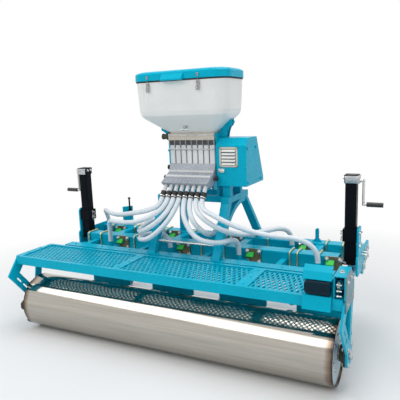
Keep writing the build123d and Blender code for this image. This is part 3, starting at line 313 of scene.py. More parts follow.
def crank_metal():
    """Bright crank rod with a black grip outside."""
    p = Paint("crank_rod_and_grip", 0.35)
    grip = p.math("GREATER_THAN", p.math("ABSOLUTE", p.axis("X")), GRIP_X / 1000)
    steel = p.mix(p.ramp(p.noise(80.0, 4.0), 0.3, 0.7), (0.5, 0.5, 0.49), (0.66, 0.66, 0.65))
    p.colour(p.mix(grip, steel, GRIP_BLACK))
    p.link(p.math("SUBTRACT", 1.0, grip), p.shader.inputs["Metallic"])
    p.rough(p.ramp(p.noise(120.0, 3.0), 0.3, 0.7), 0.25, 0.48)
    p.bump(p.noise(240.0, 2.0), 0.15, 0.0006)
    return p.mat


def meter_metal():
    """Cast meter block: a beige flange above dark cells."""
    p = Paint("meter_cast", 0.42, 0.6)
    flange = p.math("GREATER_THAN", p.axis("Z"), FLANGE_Z / 1000)
    cast = p.ramp(p.noise(90.0, 5.0), 0.3, 0.7)
    bright = p.mix(cast, (0.42, 0.39, 0.33), (0.56, 0.53, 0.46))
    dark = p.mix(cast, (0.02, 0.02, 0.022), (0.07, 0.07, 0.072))
    p.colour(p.mix(flange, dark, bright))
    p.rough(cast, 0.35, 0.55)
    p.bump(p.noise(260.0, 3.0), 0.2, 0.0008)
    return p.mat


def cast_steel(name, colour, rough=0.6, rust=0.5):
    """Rough cast iron with rust in the hollows."""
    p = Paint(name, rough, 0.35)
    grain = p.ramp(p.noise(120.0, 6.0), 0.3, 0.7)
    base = p.mix(grain, shade(colour, 0.7), shade(colour, 1.3))
    patches = p.ramp(p.noise(16.0, 7.0), 0.55, 0.75)
    p.colour(p.mix(p.math("MULTIPLY", patches, rust), base, RUST))
    p.rough(grain, rough * 0.8, min(1.0, rough * 1.3))
    normal, _ = p.edges(0.004)
    p.bump(p.noise(180.0, 4.0), 0.35, 0.0012, normal)
    return p.mat


M = {   # by the record's material slots
    "paint": enamel("teal_enamel", TEAL),
    "black_paint": enamel("black_enamel", (0.004, 0.006, 0.009),
                          rough=0.35, dust=0.0, wear=0.08, gloss=0.05),
    "disc_paint": enamel("disc_grey_enamel", (0.5, 0.6, 0.66),
                         rough=0.45, coat=0.1, dust=0.2, wear=0.3),
    "galvanised": plated("galvanised_steel", (0.52, 0.53, 0.54), rough=0.38, spangle=60.0),
    "zinc_steel": plated("bright_zinc", (0.62, 0.62, 0.61), rough=0.24),
    "yellow_zinc": plated("yellow_zinc", (0.25, 0.215, 0.13),
                          rough=0.42, spangle=120.0, tarnish=(0.12, 0.1, 0.06)),
    "green_plastic": moulded("green_plastic", (0.03, 0.62, 0.07)),
    "cast_steel": cast_steel("opener_cast_steel", (0.1, 0.1, 0.105)),
    "bearing_paint": cast_steel("bearing_cast_iron", (0.045, 0.05, 0.035), rough=0.5, rust=0.25),
    "meter_metal": meter_metal(),
    "clear_plastic": moulded("clear_plastic", (0.86, 0.87, 0.88),
                             rough=0.22, clear=0.15, bevel=0.002),
    "grey_plastic": moulded("grey_plastic", (0.44, 0.47, 0.52),
                            rough=0.25, mottle=0.12, clear=0.12),
    "black_rubber": moulded("black_rubber", (0.014, 0.014, 0.014), rough=0.6, mottle=0.2),
    "white_plastic": moulded("white_hopper_plastic", (0.84, 0.84, 0.82),
                             rough=0.34, soft=0.15, mottle=0.03, bevel=0.012),
    "cover_plastic": moulded("cover_grey_plastic", (0.11, 0.24, 0.3), rough=0.42),
    "hose": moulded("hose_plastic", (0.78, 0.83, 0.87),
                    rough=0.25, mottle=0.04, soft=0.1, bevel=0.0008),
    "stainless": stainless_drum(),
}
CRANK = crank_metal()
GOLD = plated("gold_zinc", (0.62, 0.56, 0.36), tarnish=(0.3, 0.24, 0.12))
# Near-black for the insert in the lamp bracket's hollow: painted shade where the hollow lies in
# shadow, not a lamp
SHADE_INSERT_DARK = moulded("recess_painted_shade", (0.001, 0.02, 0.036), rough=0.2, mottle=0.3, gloss=0.12)
CELL = moulded("cell_grey", (0.1, 0.105, 0.11), rough=0.5)
LATCH = plated("latch_steel", (0.34, 0.34, 0.34), tarnish=(0.1, 0.1, 0.1))
SCALE = cast_steel("rim_scale", (0.05, 0.04, 0.03), rough=0.7)
BEIGE = moulded("louvre_beige", (0.62, 0.58, 0.5))
SLAT = moulded("louvre_slat", (0.86, 0.84, 0.8), rough=0.35)
for part in frame["record"]["subparts"]:
    node = NODES[part["node"]]
    node.data.materials.clear()
    node.data.materials.append(CRANK if part["node"] == "jack_cranks" else M[part["material_slot"]])


# Mesh helpers: each adds one shape to a bmesh
def spin_frame(direction):
    """Rotation that takes +Z to a direction."""
    return direction.normalized().to_track_quat("Z", "Y").to_matrix().to_4x4()


def loft(bm, rows, closed=False):
    """Skin over rings of points, capped at both ends or closed on itself."""
    rings = [[bm.verts.new(spot) for spot in row] for row in rows]
    pairs = list(zip(rings, rings[1:]))
    if closed:
        pairs.append((rings[-1], rings[0]))
    for low, high in pairs:
        for i in range(len(low)):
            j = (i + 1) % len(low)
            bm.faces.new((low[i], low[j], high[j], high[i]))
    if not closed:
        bm.faces.new(list(reversed(rings[0])))
        bm.faces.new(rings[-1])


def lathe(bm, start, direction, profile, steps=20, turn=0.0):
    """Turned shape from its profile."""
    place = Matrix.Translation(start) @ spin_frame(direction)
    rows = []
    for along, radius in profile:
        row = []
        for i in range(steps):
            angle = turn + 2 * math.pi * i / steps
            across = math.cos(angle) * radius / 1000
            up = math.sin(angle) * radius / 1000
            row.append(place @ Vector((across, up, along / 1000)))
        rows.append(row)
    loft(bm, rows)


def bolt(bm, start, direction, across=19.0, head=8.0, washer=True):
    """Hexagon head with a chamfered top on a round washer."""
    if washer:
        disc = across * 0.82
        lathe(bm, start, direction, [(0, disc), (2.0, disc), (2.6, across * 0.76)])
    base = start + direction.normalized() * 0.0024
    flat = across / math.sqrt(3)
    profile = [(0, flat), (head * 0.82, flat), (head, flat * 0.84)]
    lathe(bm, base, direction, profile, 6, random.random())


def block(bm, centre, size, bevel=2.0, turn=None):
    """Rectangular block with eased edges, sizes in millimetres."""
    made = bmesh.ops.create_cube(bm, size=1.0)["verts"]
    place = Matrix.Translation(centre)
    if turn is not None:
        place = place @ turn
    place = place @ Matrix.Diagonal((size[0] / 1000, size[1] / 1000, size[2] / 1000, 1.0))
    bmesh.ops.transform(bm, matrix=place, verts=made)
    edges = list(dict.fromkeys(edge for vert in made for edge in vert.link_edges))
    bmesh.ops.bevel(bm, geom=edges, offset=bevel / 1000, segments=2, affect="EDGES", profile=0.5)


def sweep(bm, points, radius_at, steps, closed=False):
    """Tube along points: radius_at gives the radius at a distance walked and an angle round it."""
    last = len(points) - 1
    rows = []
    side = None
    walked = 0.0
    for i, spot in enumerate(points):
        before = points[i - 1] if i or closed else spot
        after = points[(i + 1) % len(points)] if i < last or closed else spot
        along = (after - before).normalized()
        if side is None:
            side = along.orthogonal().normalized()
        side = (side - along * side.dot(along)).normalized()
        other = along.cross(side)
        if i:
            walked += (spot - before).length * 1000
        row = []
        for k in range(steps):
            angle = 2 * math.pi * k / steps
            out = side * math.cos(angle) + other * math.sin(angle)
            row.append(spot + out * radius_at(walked, angle) / 1000)
        rows.append(row)
    loft(bm, rows, closed)


def rod(bm, points, radius, steps=10, closed=False):
    """Round bar along points, radius in millimetres."""
    sweep(bm, points, lambda walked, angle: radius, steps, closed)


def arc(centre, first, second, radius, start, end, steps):
    """Points on an arc in the plane of two directions, radius in millimetres, angles in degrees."""
    spots = []
    for i in range(steps + 1):
        angle = math.radians(start + (end - start) * i / steps)
        spots.append(centre + (first * math.cos(angle) + second * math.sin(angle)) * radius / 1000)
    return spots


def ring(bm, centre, first, second, radius, wire, steps=24):
    """Closed ring of wire in the plane of two directions."""
    spots = arc(centre, first, second, radius, 0, 360 - 360 / steps, steps - 1)
    rod(bm, spots, wire, 8, closed=True)


def loop_points(mid_x, mid_r, half_x, half_r, corner, z, steps=8):
    """Rounded rectangle in plan."""
    spots = []
    for sx, sr, turn_from in ((1, 1, 0), (-1, 1, 90), (-1, -1, 180), (1, -1, 270)):
        centre = at(mid_x + sx * (half_x - corner), mid_r + sr * (half_r - corner), z)
        spots += arc(centre, X, Y, corner, turn_from, turn_from + 90, steps)
    return spots


def rim_loop(out, z):
    """The outline of the hopper's rim, moved outward."""
    return loop_points(RIM_X, RIM_R, RIM_HALF_X + out, RIM_HALF_R + out, RIM_CORNER + out, z)


def piece(name, bm, slot, body, smooth=40.0, mat=None):
    """Turns a bmesh into a named piece that rides on a body."""
    bmesh.ops.recalc_face_normals(bm, faces=bm.faces)
    mesh = bpy.data.meshes.new(name)
    bm.to_mesh(mesh)
    bm.free()
    obj = add(name, mesh)
    mesh.materials.append(mat or M[slot])
    if smooth:
        mesh.shade_smooth()
        mesh.set_sharp_from_angle(angle=math.radians(smooth))
    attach(obj, body)
    return obj


# Seed hoses: wire-wound tubes that follow the routes of the solids
OUTLETS = 8
OUTLET_STEP = 44.0
OUTLET_X = [(i - (OUTLETS - 1) / 2) * OUTLET_STEP for i in range(OUTLETS)]
UNITS = [(x, 500.0, 550.0) for x in (-675.0, -135.0, 405.0, 945.0)]     # x, r and z of the bar
UNITS += [(x, 850.0, 530.0) for x in (-945.0, -405.0, 135.0, 675.0)]
HOSE_UNITS = [4, 0, 5, 1, 2, 6, 7, 3]       # the unit that each hose feeds
HOSE_ROUTES = [     # x, r and z between cuff and boot
    [(-250, 208, 874), (-440, 290, 828), (-690, 460, 762), (-920, 620, 745), (-1020, 725, 735)],
    [(-190, 178, 846), (-370, 210, 778), (-590, 300, 750), (-715, 380, 740)],
    [(-128, 166, 822), (-280, 182, 730), (-400, 300, 700), (-450, 480, 705), (-478, 640, 705)],
    [(-76, 160, 802), (-215, 148, 685), (-340, 215, 660), (-385, 320, 660), (-325, 398, 665)],
    [(60, 165, 830), (150, 152, 715), (275, 225, 680), (335, 330, 690)],
    [(115, 175, 830), (165, 240, 740), (170, 350, 700), (140, 500, 700), (80, 660, 705)],
    [(180, 190, 850), (300, 240, 765), (390, 370, 710), (480, 550, 705), (570, 690, 705)],
    [(240, 198, 882), (390, 225, 806), (590, 300, 740), (780, 370, 725)],
]
HOSE_R = 18.0
HOSE_RIB = 1.6          # height of the wound rib
HOSE_PITCH = 9.0        # from rib to rib
HOSE_RINGS = 5          # rings of the mesh to each pitch
HOSE_SIDES = 16
HOSE_LEAD = 60.0        # straight run out of the cuff
HOSE_DROP = 80.0        # straight run into the boot
NOZZLE_AT = (317.0, 1041.0)         # r and z at the manifold
NOZZLE_DOWN = Vector((0, -0.6, -0.8))
CUFF_END = 96.0
BOOT_ASIDE = 60.0
BOOT_OUT = 45.0
BOOT_TOP = 565.0


def nozzle(x, distance):
    """Point at a distance along the nozzle at x."""
    r, z = NOZZLE_AT
    return at(x, r - 0.6 * distance, z - 0.8 * distance)


def spline_points(name, route):
    """Points along a NURBS curve whose control points are the route."""
    data = bpy.data.curves.new(name, "CURVE")
    data.dimensions = "3D"
    data.resolution_u = 24
    line = data.splines.new("NURBS")
    line.points.add(len(route) - 1)
    for spot, place in zip(line.points, route):
        spot.co = (*place, 1.0)
    line.order_u = 3
    line.use_endpoint_u = True
    temp = add(name, data)
    mesh = bpy.data.meshes.new_from_object(temp)
    spots = [vert.co.copy() for vert in mesh.vertices]
    bpy.data.objects.remove(temp)
    bpy.data.curves.remove(data)
    bpy.data.meshes.remove(mesh)
    return spots


def evenly(spots, step):
    """The same line with points at an even step, in metres, and its length."""
    total = sum((b - a).length for a, b in zip(spots, spots[1:]))
    count = max(2, round(total / step))
    made = [spots[0].copy()]
    left = total / count
    for a, b in zip(spots, spots[1:]):
        run = (b - a).length
        done = 0.0
        while run - done > left - 1e-9 and len(made) < count:
            done += left
            made.append(a.lerp(b, done / run))
            left = total / count
        left -= run - done
    made.append(spots[-1].copy())
    return made, total


def hose_radius(walked, angle):
    """Radius of a hose with a rib wound round it."""
    wave = math.cos(2 * math.pi * walked / HOSE_PITCH - angle)
    return HOSE_R - HOSE_RIB + HOSE_RIB * max(0.0, wave) ** 2


for number, (middle, unit) in enumerate(zip(HOSE_ROUTES, HOSE_UNITS)):
    label = f"seed_hose_{number + 1}"
    unit_x, bar, _ = UNITS[unit]
    boot = (unit_x - BOOT_ASIDE, bar - BAR_HALF - BOOT_OUT)
    start = nozzle(OUTLET_X[number], CUFF_END)
    lead = nozzle(OUTLET_X[number], CUFF_END + HOSE_LEAD)
    route = [start, lead, *[at(*spot) for spot in middle]]
    route += [at(*boot, BOOT_TOP + HOSE_DROP), at(*boot, BOOT_TOP)]
    spots, length = evenly(spline_points(label + "_line", route), HOSE_PITCH / HOSE_RINGS / 1000)
    hose_bm = bmesh.new()
    sweep(hose_bm, spots, hose_radius, HOSE_SIDES)
    hose = piece(label + "_ribbed", hose_bm, "hose", MAIN, smooth=60.0)
    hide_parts(label)

# Expanded metal in the three deck bays, in place of the plain mesh solid
MESH_BAYS = [(-1110.0, -320.0), (-262.0, 545.0), (620.0, 1110.0)]       # left and right
MESH_LAP = 12.0         # under the frame at each end
MESH_REAR = -152.0
MESH_FRONT = 172.0
MESH_Z = 554.0
MESH_STEP_X = 33.0
MESH_STEP_R = 75.0
STRAND_W = 11.5
STRAND_T = 7.4
BOND = (19.0, 23.0, 7.8)
EDGE_W = 6.0
EDGE_T = 4.0


def strand(bm, a, b):
    """One strand of the sheet: a flat bar between two bonds."""
    across = (b - a).cross(Z).normalized() * STRAND_W / 2000
    thick = Z * STRAND_T / 2000
    corners = ((1, 1), (-1, 1), (-1, -1), (1, -1))
    loft(bm, [[spot + s * across + t * thick for s, t in corners] for spot in (a, b)])


mesh_bm = bmesh.new()
for left, right in MESH_BAYS:
    left -= MESH_LAP
    right += MESH_LAP
    columns = round((right - left) / MESH_STEP_X)
    step_x = (right - left) / columns
    rows = round((MESH_FRONT - MESH_REAR) / MESH_STEP_R)
    step_r = (MESH_FRONT - MESH_REAR) / rows
    for row in range(2 * rows):
        r_low = MESH_REAR + row * step_r / 2
        r_high = r_low + step_r / 2
        for column in range(2 * columns):
            x_low = left + column * step_x / 2
            rising = (row + column) % 2 == 0
            a = at(x_low, r_low if rising else r_high, MESH_Z)
            b = at(x_low + step_x / 2, r_high if rising else r_low, MESH_Z)
            strand(mesh_bm, a, b)
            if rising:
                block(mesh_bm, a, BOND, 1.2)
    for r in (MESH_REAR, MESH_FRONT):
        block(mesh_bm, at((left + right) / 2, r, MESH_Z), (right - left, EDGE_W, EDGE_T), 0.6)
expanded = piece("deck_expanded_metal", mesh_bm, "paint", DECK, smooth=0)
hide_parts("deck_mesh")

# Row units: U-bolts round the bars with their straps, clamp bolts and shank bolts
U_BOLTS = [     # r and z of the bar, x of its bolts
    (500.0, 550.0, (-976, -860, -540, -330, 40, 215, 690, 740, 880)),
    (850.0, 530.0, (-1000, -770, -460, -210, 85, 420, 620, 850, 966)),
]
U_ROD = 6.0
U_REACH = BAR_HALF + U_ROD + 1.0        # from the bar's middle to the rod's
U_BEND = 12.0
U_TAIL = 26.0           # rod below the bar
STRAP_W = 30.0
STRAP_T = 8.0
STRAP_LAP = 26.0        # strap past both rods
CLAMP_T = 10.0
CLAMP_BOLT_X = (-12.0, 72.0)        # from the unit's middle
CLAMP_BOLT_Z = (-34.0, 34.0)        # from the bar's middle
STUD = [(0, 5.5), (9, 5.5), (10, 4.5)]
SHANK_HALF = 20.0
SHANK_BOLT_Z = (190.0, 320.0)
u_bm = bmesh.new()
nut_bm = bmesh.new()
for bar, bar_z, places in U_BOLTS:
    under = bar_z - BAR_HALF
    knee_z = bar_z + U_REACH - U_BEND
    for x in places:
        path = [at(x, bar - U_REACH, under - U_TAIL)]
        path += arc(at(x, bar - U_REACH + U_BEND, knee_z), -Y, Z, U_BEND, 0, 90, 6)
        path += arc(at(x, bar + U_REACH - U_BEND, knee_z), Z, Y, U_BEND, 0, 90, 6)
        path.append(at(x, bar + U_REACH, under - U_TAIL))
        rod(u_bm, path, U_ROD)
        strap = (STRAP_W, 2 * U_REACH + STRAP_LAP, STRAP_T)
        block(u_bm, at(x, bar, under - STRAP_T / 2), strap, 1.5)
        for hand in HANDS:
            bolt(nut_bm, at(x, bar + hand * U_REACH, under - STRAP_T), -Z, 19, 10)
for x, bar, bar_z in UNITS:
    clamp_r = bar - BAR_HALF - CLAMP_T
    for dx in CLAMP_BOLT_X:
        for dz in CLAMP_BOLT_Z:
            bolt(nut_bm, at(x + dx, clamp_r, bar_z + dz), -Y, 19, 10)
            lathe(nut_bm, at(x + dx, clamp_r - 10, bar_z + dz), -Y, STUD, 12)
    for z in SHANK_BOLT_Z:
        for hand in HANDS:
            bolt(nut_bm, at(x + hand * SHANK_HALF, bar, z), hand * X, 19, 8)
piece("unit_u_bolts", u_bm, "yellow_zinc", MAIN, mat=GOLD)
piece("unit_nuts", nut_bm, "zinc_steel", MAIN)

# Roller ends: rim beads, flakes of scale on the left rim, disc bolts, bearing and arm bolts
RIM_BEADS = [(186.5, DRUM_END + 0.5), (183.0, DRUM_END - 11.0)]         # radius, x
FLAKES = [(-7, 18, 26), (-55, -31, 30), (48, 72, 5)]    # first and last angle, reach past the rim
FLAKE_R = (181.0, 187.5)
DISC_X = 1088.0         # outer face of the end discs
DISC_BOLTS = 6
DISC_BOLT_R = 100.0
BEARING_BOLT = 44.0     # from the shaft's middle, along r and z
BEARING_NUT_X = 1132.0
SHAFT_X = 1164.0
SHAFT_CAP = [(0, 24), (3, 24), (5, 20), (5.5, 8)]
ARM_BOLT_Z = 535.0
ARM_BOLTS = {-1: (-90, -20, 50), 1: (50,)}      # r on each side; the end box hides the others
rim_bm = bmesh.new()
for hand in HANDS:
    for radius, out in RIM_BEADS:
        ring(rim_bm, at(hand * out, 0, AXIS_Z), Y, Z, radius, 2.2, 96)
piece("roller_rim_beads", rim_bm, "stainless", "roller")
scale_bm = bmesh.new()
for low, high, out in FLAKES:
    middle = (low + high) / 2
    flake = []
    for radius in FLAKE_R:
        spots = arc(at(1 - DRUM_END, 0, AXIS_Z), -Y, Z, radius, low, high, 12)
        tip = at(-DRUM_END - out, 0, AXIS_Z)
        spots += arc(tip, -Y, Z, radius + 1, middle + 2, low + 3, 4)
        flake.append(spots)
    loft(scale_bm, flake)
piece("roller_rim_scale", scale_bm, "cast_steel", "roller", smooth=0, mat=SCALE)
disc_bm = bmesh.new()
for hand in HANDS:
    for i in range(DISC_BOLTS):
        angle = math.radians(360 / DISC_BOLTS * i + 15)
        r, z = DISC_BOLT_R * math.cos(angle), AXIS_Z + DISC_BOLT_R * math.sin(angle)
        bolt(disc_bm, at(hand * DISC_X, r, z), hand * X, 17, 7)
piece("roller_disc_bolts", disc_bm, "zinc_steel", "roller")
bearing_bm = bmesh.new()
for hand in HANDS:
    for r in (-BEARING_BOLT, BEARING_BOLT):
        for z in (AXIS_Z - BEARING_BOLT, AXIS_Z + BEARING_BOLT):
            bolt(bearing_bm, at(hand * ARM_X, r, z), hand * X, 19, 8)
            bolt(bearing_bm, at(hand * BEARING_NUT_X, r, z), -hand * X, 17, 6)
    lathe(bearing_bm, at(hand * SHAFT_X, 0, AXIS_Z), hand * X, SHAFT_CAP, 24)
    for r in ARM_BOLTS[hand]:
        bolt(bearing_bm, at(hand * ARM_X, r, ARM_BOLT_Z), hand * X, 17, 7)
piece("roller_bearing_bolts", bearing_bm, "zinc_steel", DECK)

# Screw jacks: lock pins with rings, cap screws, foot bolts, crank hubs and sleeve bolts
LOCK_PIN = [(0, 9), (4, 9), (4.5, 6), (20, 6), (21, 5)]
LOCK_PIN_Z = (752.0, 712.0)
LOCK_PIN_IN = 45.0      # inward from the jack's middle
LOCK_RING_IN = 60.0
LOCK_RING_DROP = 14.0
LOCK_RING_R = 15.0
CAP_SCREWS = (43.5, 18.0, 1096.0)       # inward from the jack's middle, to both sides of it, z
FOOT_BOLTS = (26.0, 43.0, 550.0)
CRANK_HUB = [(0, 20), (8, 20), (10, 13), (18, 13)]
CRANK_HUB_OUT = 41.0    # outward from the jack's middle
CRANK_Z = 1079.0
SLEEVE_BOLTS = [(520, 745), (580, 745), (520, 665), (580, 665)]         # r, z
jack_bm = bmesh.new()
for hand in HANDS:
    x = hand * JACK_X
    for z in LOCK_PIN_Z:
        lathe(jack_bm, at(x - hand * LOCK_PIN_IN, JACK_R, z), -hand * X, LOCK_PIN, 14)
        eye = at(x - hand * LOCK_RING_IN, JACK_R, z - LOCK_RING_DROP)
        ring(jack_bm, eye, Z, Y, LOCK_RING_R, 2.0)
    for (inward, aside, z), toward, across, head in (
        (CAP_SCREWS, -hand * X, 13, 6),
        (FOOT_BOLTS, Z, 15, 7),
    ):
        for r in (JACK_R - aside, JACK_R + aside):
            bolt(jack_bm, at(x - hand * inward, r, z), toward, across, head)
    lathe(jack_bm, at(x + hand * CRANK_HUB_OUT, JACK_R, CRANK_Z), hand * X, CRANK_HUB)
    for r, z in SLEEVE_BOLTS:
        bolt(jack_bm, at(hand * PLATE_X, r, z), hand * X, 19, 8)
piece("jack_fittings", jack_bm, "zinc_steel", MAIN)

# Flared jack caps: a black gear case in a bright cover that leaves its inner face open
CASE_ROWS = [(1062, 38), (1068, 40), (1100, 42), (1112, 43), (1116, 41)]        # z, half width
COVER_ROWS = [(1065, 40), (1068, 41.5), (1098, 44.5), (1108, 46), (1111, 44.5)]
COVER_OUT = 5.0
case_bm = bmesh.new()
cover_bm = bmesh.new()
for hand in HANDS:
    x = hand * JACK_X
    loft(case_bm, [loop_points(x, JACK_R, half, half, 5, z) for z, half in CASE_ROWS])
    x += hand * COVER_OUT
    loft(cover_bm, [loop_points(x, JACK_R, half - 1, half, 4, z) for z, half in COVER_ROWS])
cases = piece("jack_cap_cases", case_bm, "black_paint", MAIN)
piece("jack_cap_covers", cover_bm, "galvanised", MAIN)
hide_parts("jack_caps")

# Side plates: pivot washers, frame bolts and ring pins, and the pin in the post on the front bar
PIVOT_R = 720.0
PIVOT_Z = 474.0
PIVOT_WASHER = [(0, 34), (4, 34), (4.2, 24), (12, 24), (14, 20)]
FRAME_BOLT_R = (815, 885)
FRAME_BOLT_Z = (500, 560)
RING_PIN_R = (650, 705)
RING_PIN_Z = 572.0
RING_PIN_X = (1100.0, 1146.0)       # ends of the pin
PIN_RING_X = 1142.0
PIN_RING_R = 22.0
POST_PIN_AT = (-838, 832, 715)
POST_PIN = [(0, 7), (100, 7), (104, 11), (112, 11), (116, 7)]
POST_STUD_AT = (-838, 846, 723)
POST_STUD = [(0, 9), (20, 9), (24, 6)]
POST_RING_AT = (-838, 822, 700)
POST_RING_R = 20.0
side_bm = bmesh.new()
for hand in HANDS:
    lathe(side_bm, at(hand * PLATE_X, PIVOT_R, PIVOT_Z), hand * X, PIVOT_WASHER, 28)
    for r in FRAME_BOLT_R:
        for z in FRAME_BOLT_Z:
            bolt(side_bm, at(hand * PLATE_X, r, z), hand * X, 24, 10)
    for r in RING_PIN_R:
        rod(side_bm, [at(hand * x, r, RING_PIN_Z) for x in RING_PIN_X], 8.0, 12)
        hung = at(hand * PIN_RING_X, r, RING_PIN_Z - PIN_RING_R)
        ring(side_bm, hung, Z, Y, PIN_RING_R, 2.6)
piece("side_plate_fittings", side_bm, "zinc_steel", MAIN)
post_bm = bmesh.new()
lathe(post_bm, at(*POST_PIN_AT), Z, POST_PIN, 16)
lathe(post_bm, at(*POST_STUD_AT), -Y, POST_STUD, 16)
ring(post_bm, at(*POST_RING_AT), Z, X, POST_RING_R, 4.0)
piece("post_pin", post_bm, "black_paint", MAIN)

# Walkway: rivets along the plain strips, and the bolts of the stand's feet
RIVET = [(0, 9), (2, 8.4), (3.6, 6), (4.2, 2.5)]
DECK_RIVETS = [     # x, r
    (-291.0, (-110, 10, 130)),
    (582.0, (-110, 10, 130)),
    (-1128.0, (-60, 60, 140)),
    (1128.0, (-60, 60, 140)),
]
STRIP_RIVET_X = (-950, -700, -450, -100, 100, 450, 700, 950)
STRIP_RIVET_R = 247.0
FOOT_X = 250.0
FOOT_R = 250.0
FOOT_BOLT = 40.0        # from the foot's middle
deck_bm = bmesh.new()
for x, places in DECK_RIVETS:
    for r in places:
        lathe(deck_bm, at(x, r, DECK_Z), Z, RIVET, 16)
piece("deck_rivets", deck_bm, "paint", DECK)
strip_bm = bmesh.new()
for x in STRIP_RIVET_X:
    lathe(strip_bm, at(x, STRIP_RIVET_R, DECK_Z), Z, RIVET, 16)
for hand in HANDS:
    for dx in (-FOOT_BOLT, FOOT_BOLT):
        bolt(strip_bm, at(hand * FOOT_X + dx, FOOT_R, DECK_Z), Z, 15, 7)
piece("strip_rivets", strip_bm, "paint", MAIN)

# Lamp bracket and end box: bolts, studs, the guide wheel inside the box, and a dark insert that is
# painted shade in the bracket's hollow
CORNER_BOLT_AT = (1128, -90, 690)
BOX_STUDS_AT = [(1108, -150, z) for z in (640, 606, 578)]
BOX_STUD = [(0, 5), (4, 8), (12, 8), (13, 5), (30, 5)]
GUIDE_WHEEL_AT = (1104, -100, 622)
GUIDE_WHEEL = [(0, 20), (6, 44), (9, 46), (15, 40), (21, 46), (24, 44), (40, 14), (46, 14)]
END_COVER_X = 1164.0
END_COVER_BOLTS = [(-130, 530), (20, 530), (-130, 650), (-40, 650)]         # r, z
SHADE_INSERT_ROWS = [(948, 0.55), (952, 0.8), (962, 0.95), (980, 1.0), (1082, 1.0)]     # x, share of size
SHADE_INSERT_R = -171.0
SHADE_INSERT_Z = 618.0
SHADE_INSERT_SIZE = 40.0        # radius of the round front half
SHADE_INSERT_FLAT = 0.35        # depth of the rear half against the front half
corner_bm = bmesh.new()
bolt(corner_bm, at(*CORNER_BOLT_AT), Z, 19, 8)
for spot in BOX_STUDS_AT:
    lathe(corner_bm, at(*spot), X, BOX_STUD, 14)
lathe(corner_bm, at(*GUIDE_WHEEL_AT), X, GUIDE_WHEEL, 36)
for r, z in END_COVER_BOLTS:
    bolt(corner_bm, at(END_COVER_X, r, z), X, 15, 6)
piece("corner_fittings", corner_bm, "zinc_steel", DECK)
# Dark insert in the bracket's hollow, a round front half on a flat rear half: painted shade, not a
# lamp
shade_insert_bm = bmesh.new()
shade_insert_rows = []
for x, share in SHADE_INSERT_ROWS:
    centre = at(x, SHADE_INSERT_R, SHADE_INSERT_Z)
    spots = arc(centre, Y, Z, SHADE_INSERT_SIZE * share, -88, 88, 14)
    spots += arc(centre, -Y * SHADE_INSERT_FLAT, -Z, SHADE_INSERT_SIZE * share, -88, 88, 14)
    shade_insert_rows.append(spots)
loft(shade_insert_bm, shade_insert_rows)
piece("corner_hollow_painted_shade", shade_insert_bm, "black_paint", DECK, mat=SHADE_INSERT_DARK)

# Hopper: outlet bead, a black ring under the lid as painted shadow of the gap between lid and tank,
# toggle latches with their keepers, and a thumb screw
OUTLET_BEAD = (0, 500, 166, 61, 15, 1394)       # middle and half sizes in x and r, corner, z
LID_GAP_SHADE_Z = 1745.0
LATCH_X = (-250.0, 130.0)
LATCH_R = 304.0         # rear face of the tank
LATCH_LOOP = [      # x from the latch's middle, distance out, z
    (-8, 6, 1714), (-9, 8, 1736), (-5, 9, 1743), (5, 9, 1743), (9, 8, 1736), (8, 6, 1714),
]
LATCH_AXLE = [(-11, 6, 1713), (11, 6, 1713)]
LATCH_LEG = [(5, 6, 1712), (12, 9, 1690), (9, 9, 1672)]
LATCH_PLATE_Z = 1722.0
LATCH_LEVER_Z = 1692.0
KEEPER_STEM = (295.5, 1768.0)       # r, z
KEEPER_HOOK = (294.0, 1778.0)
KEEPER_BAR = [(-8, 293, 1764), (8, 293, 1764)]      # x from the latch's middle, r, z
FUNNEL_OUT = Vector((0, -0.713, -0.701))
THUMB_AT = (-20, 391, 1440)
THUMB_SCREW = [(-2, 15), (4, 15), (5, 8), (30, 6), (32, 6)]
tank_bm = bmesh.new()
rod(tank_bm, loop_points(*OUTLET_BEAD), 5.0, 8, closed=True)
piece("hopper_beads", tank_bm, "white_plastic", MAIN)
# Black rubber ring round the rim under the lid: painted shadow of the gap between lid and tank
lid_gap_shade_bm = bmesh.new()
rod(lid_gap_shade_bm, rim_loop(0, LID_GAP_SHADE_Z), 4.5, 8, closed=True)
piece("hopper_lid_gap_shade", lid_gap_shade_bm, "black_rubber", MAIN)
latch_bm = bmesh.new()
keeper_bm = bmesh.new()
for x in LATCH_X:
    block(latch_bm, at(x, LATCH_R - 1.5, LATCH_PLATE_Z), (16, 3, 22), 0.8)
    rod(latch_bm, [at(x + dx, LATCH_R - out, z) for dx, out, z in LATCH_LOOP], 2.0, 8)
    rod(latch_bm, [at(x + dx, LATCH_R - out, z) for dx, out, z in LATCH_AXLE], 3.0)
    block(latch_bm, at(x, LATCH_R - 7, LATCH_LEVER_Z), (9, 4, 34), 1.4)
    for hand in HANDS:
        rod(latch_bm, [at(x + hand * dx, LATCH_R - out, z) for dx, out, z in LATCH_LEG], 2.6, 8)
    block(keeper_bm, at(x, *KEEPER_STEM), (7, 3, 20), 0.8)
    block(keeper_bm, at(x, *KEEPER_HOOK), (22, 6, 5), 1.0)
    rod(keeper_bm, [at(x + dx, r, z) for dx, r, z in KEEPER_BAR], 2.4, 8)
piece("hopper_latches", latch_bm, "zinc_steel", MAIN, mat=LATCH)
piece("lid_keepers", keeper_bm, "zinc_steel", "lid", mat=LATCH)
thumb_bm = bmesh.new()
thumb = at(*THUMB_AT)
lathe(thumb_bm, thumb, FUNNEL_OUT, THUMB_SCREW, 16)
thumb += FUNNEL_OUT * 0.03
rod(thumb_bm, [thumb - X * 0.026, thumb + X * 0.026], 4.5, 12)
piece("funnel_thumb_screw", thumb_bm, "zinc_steel", MAIN)

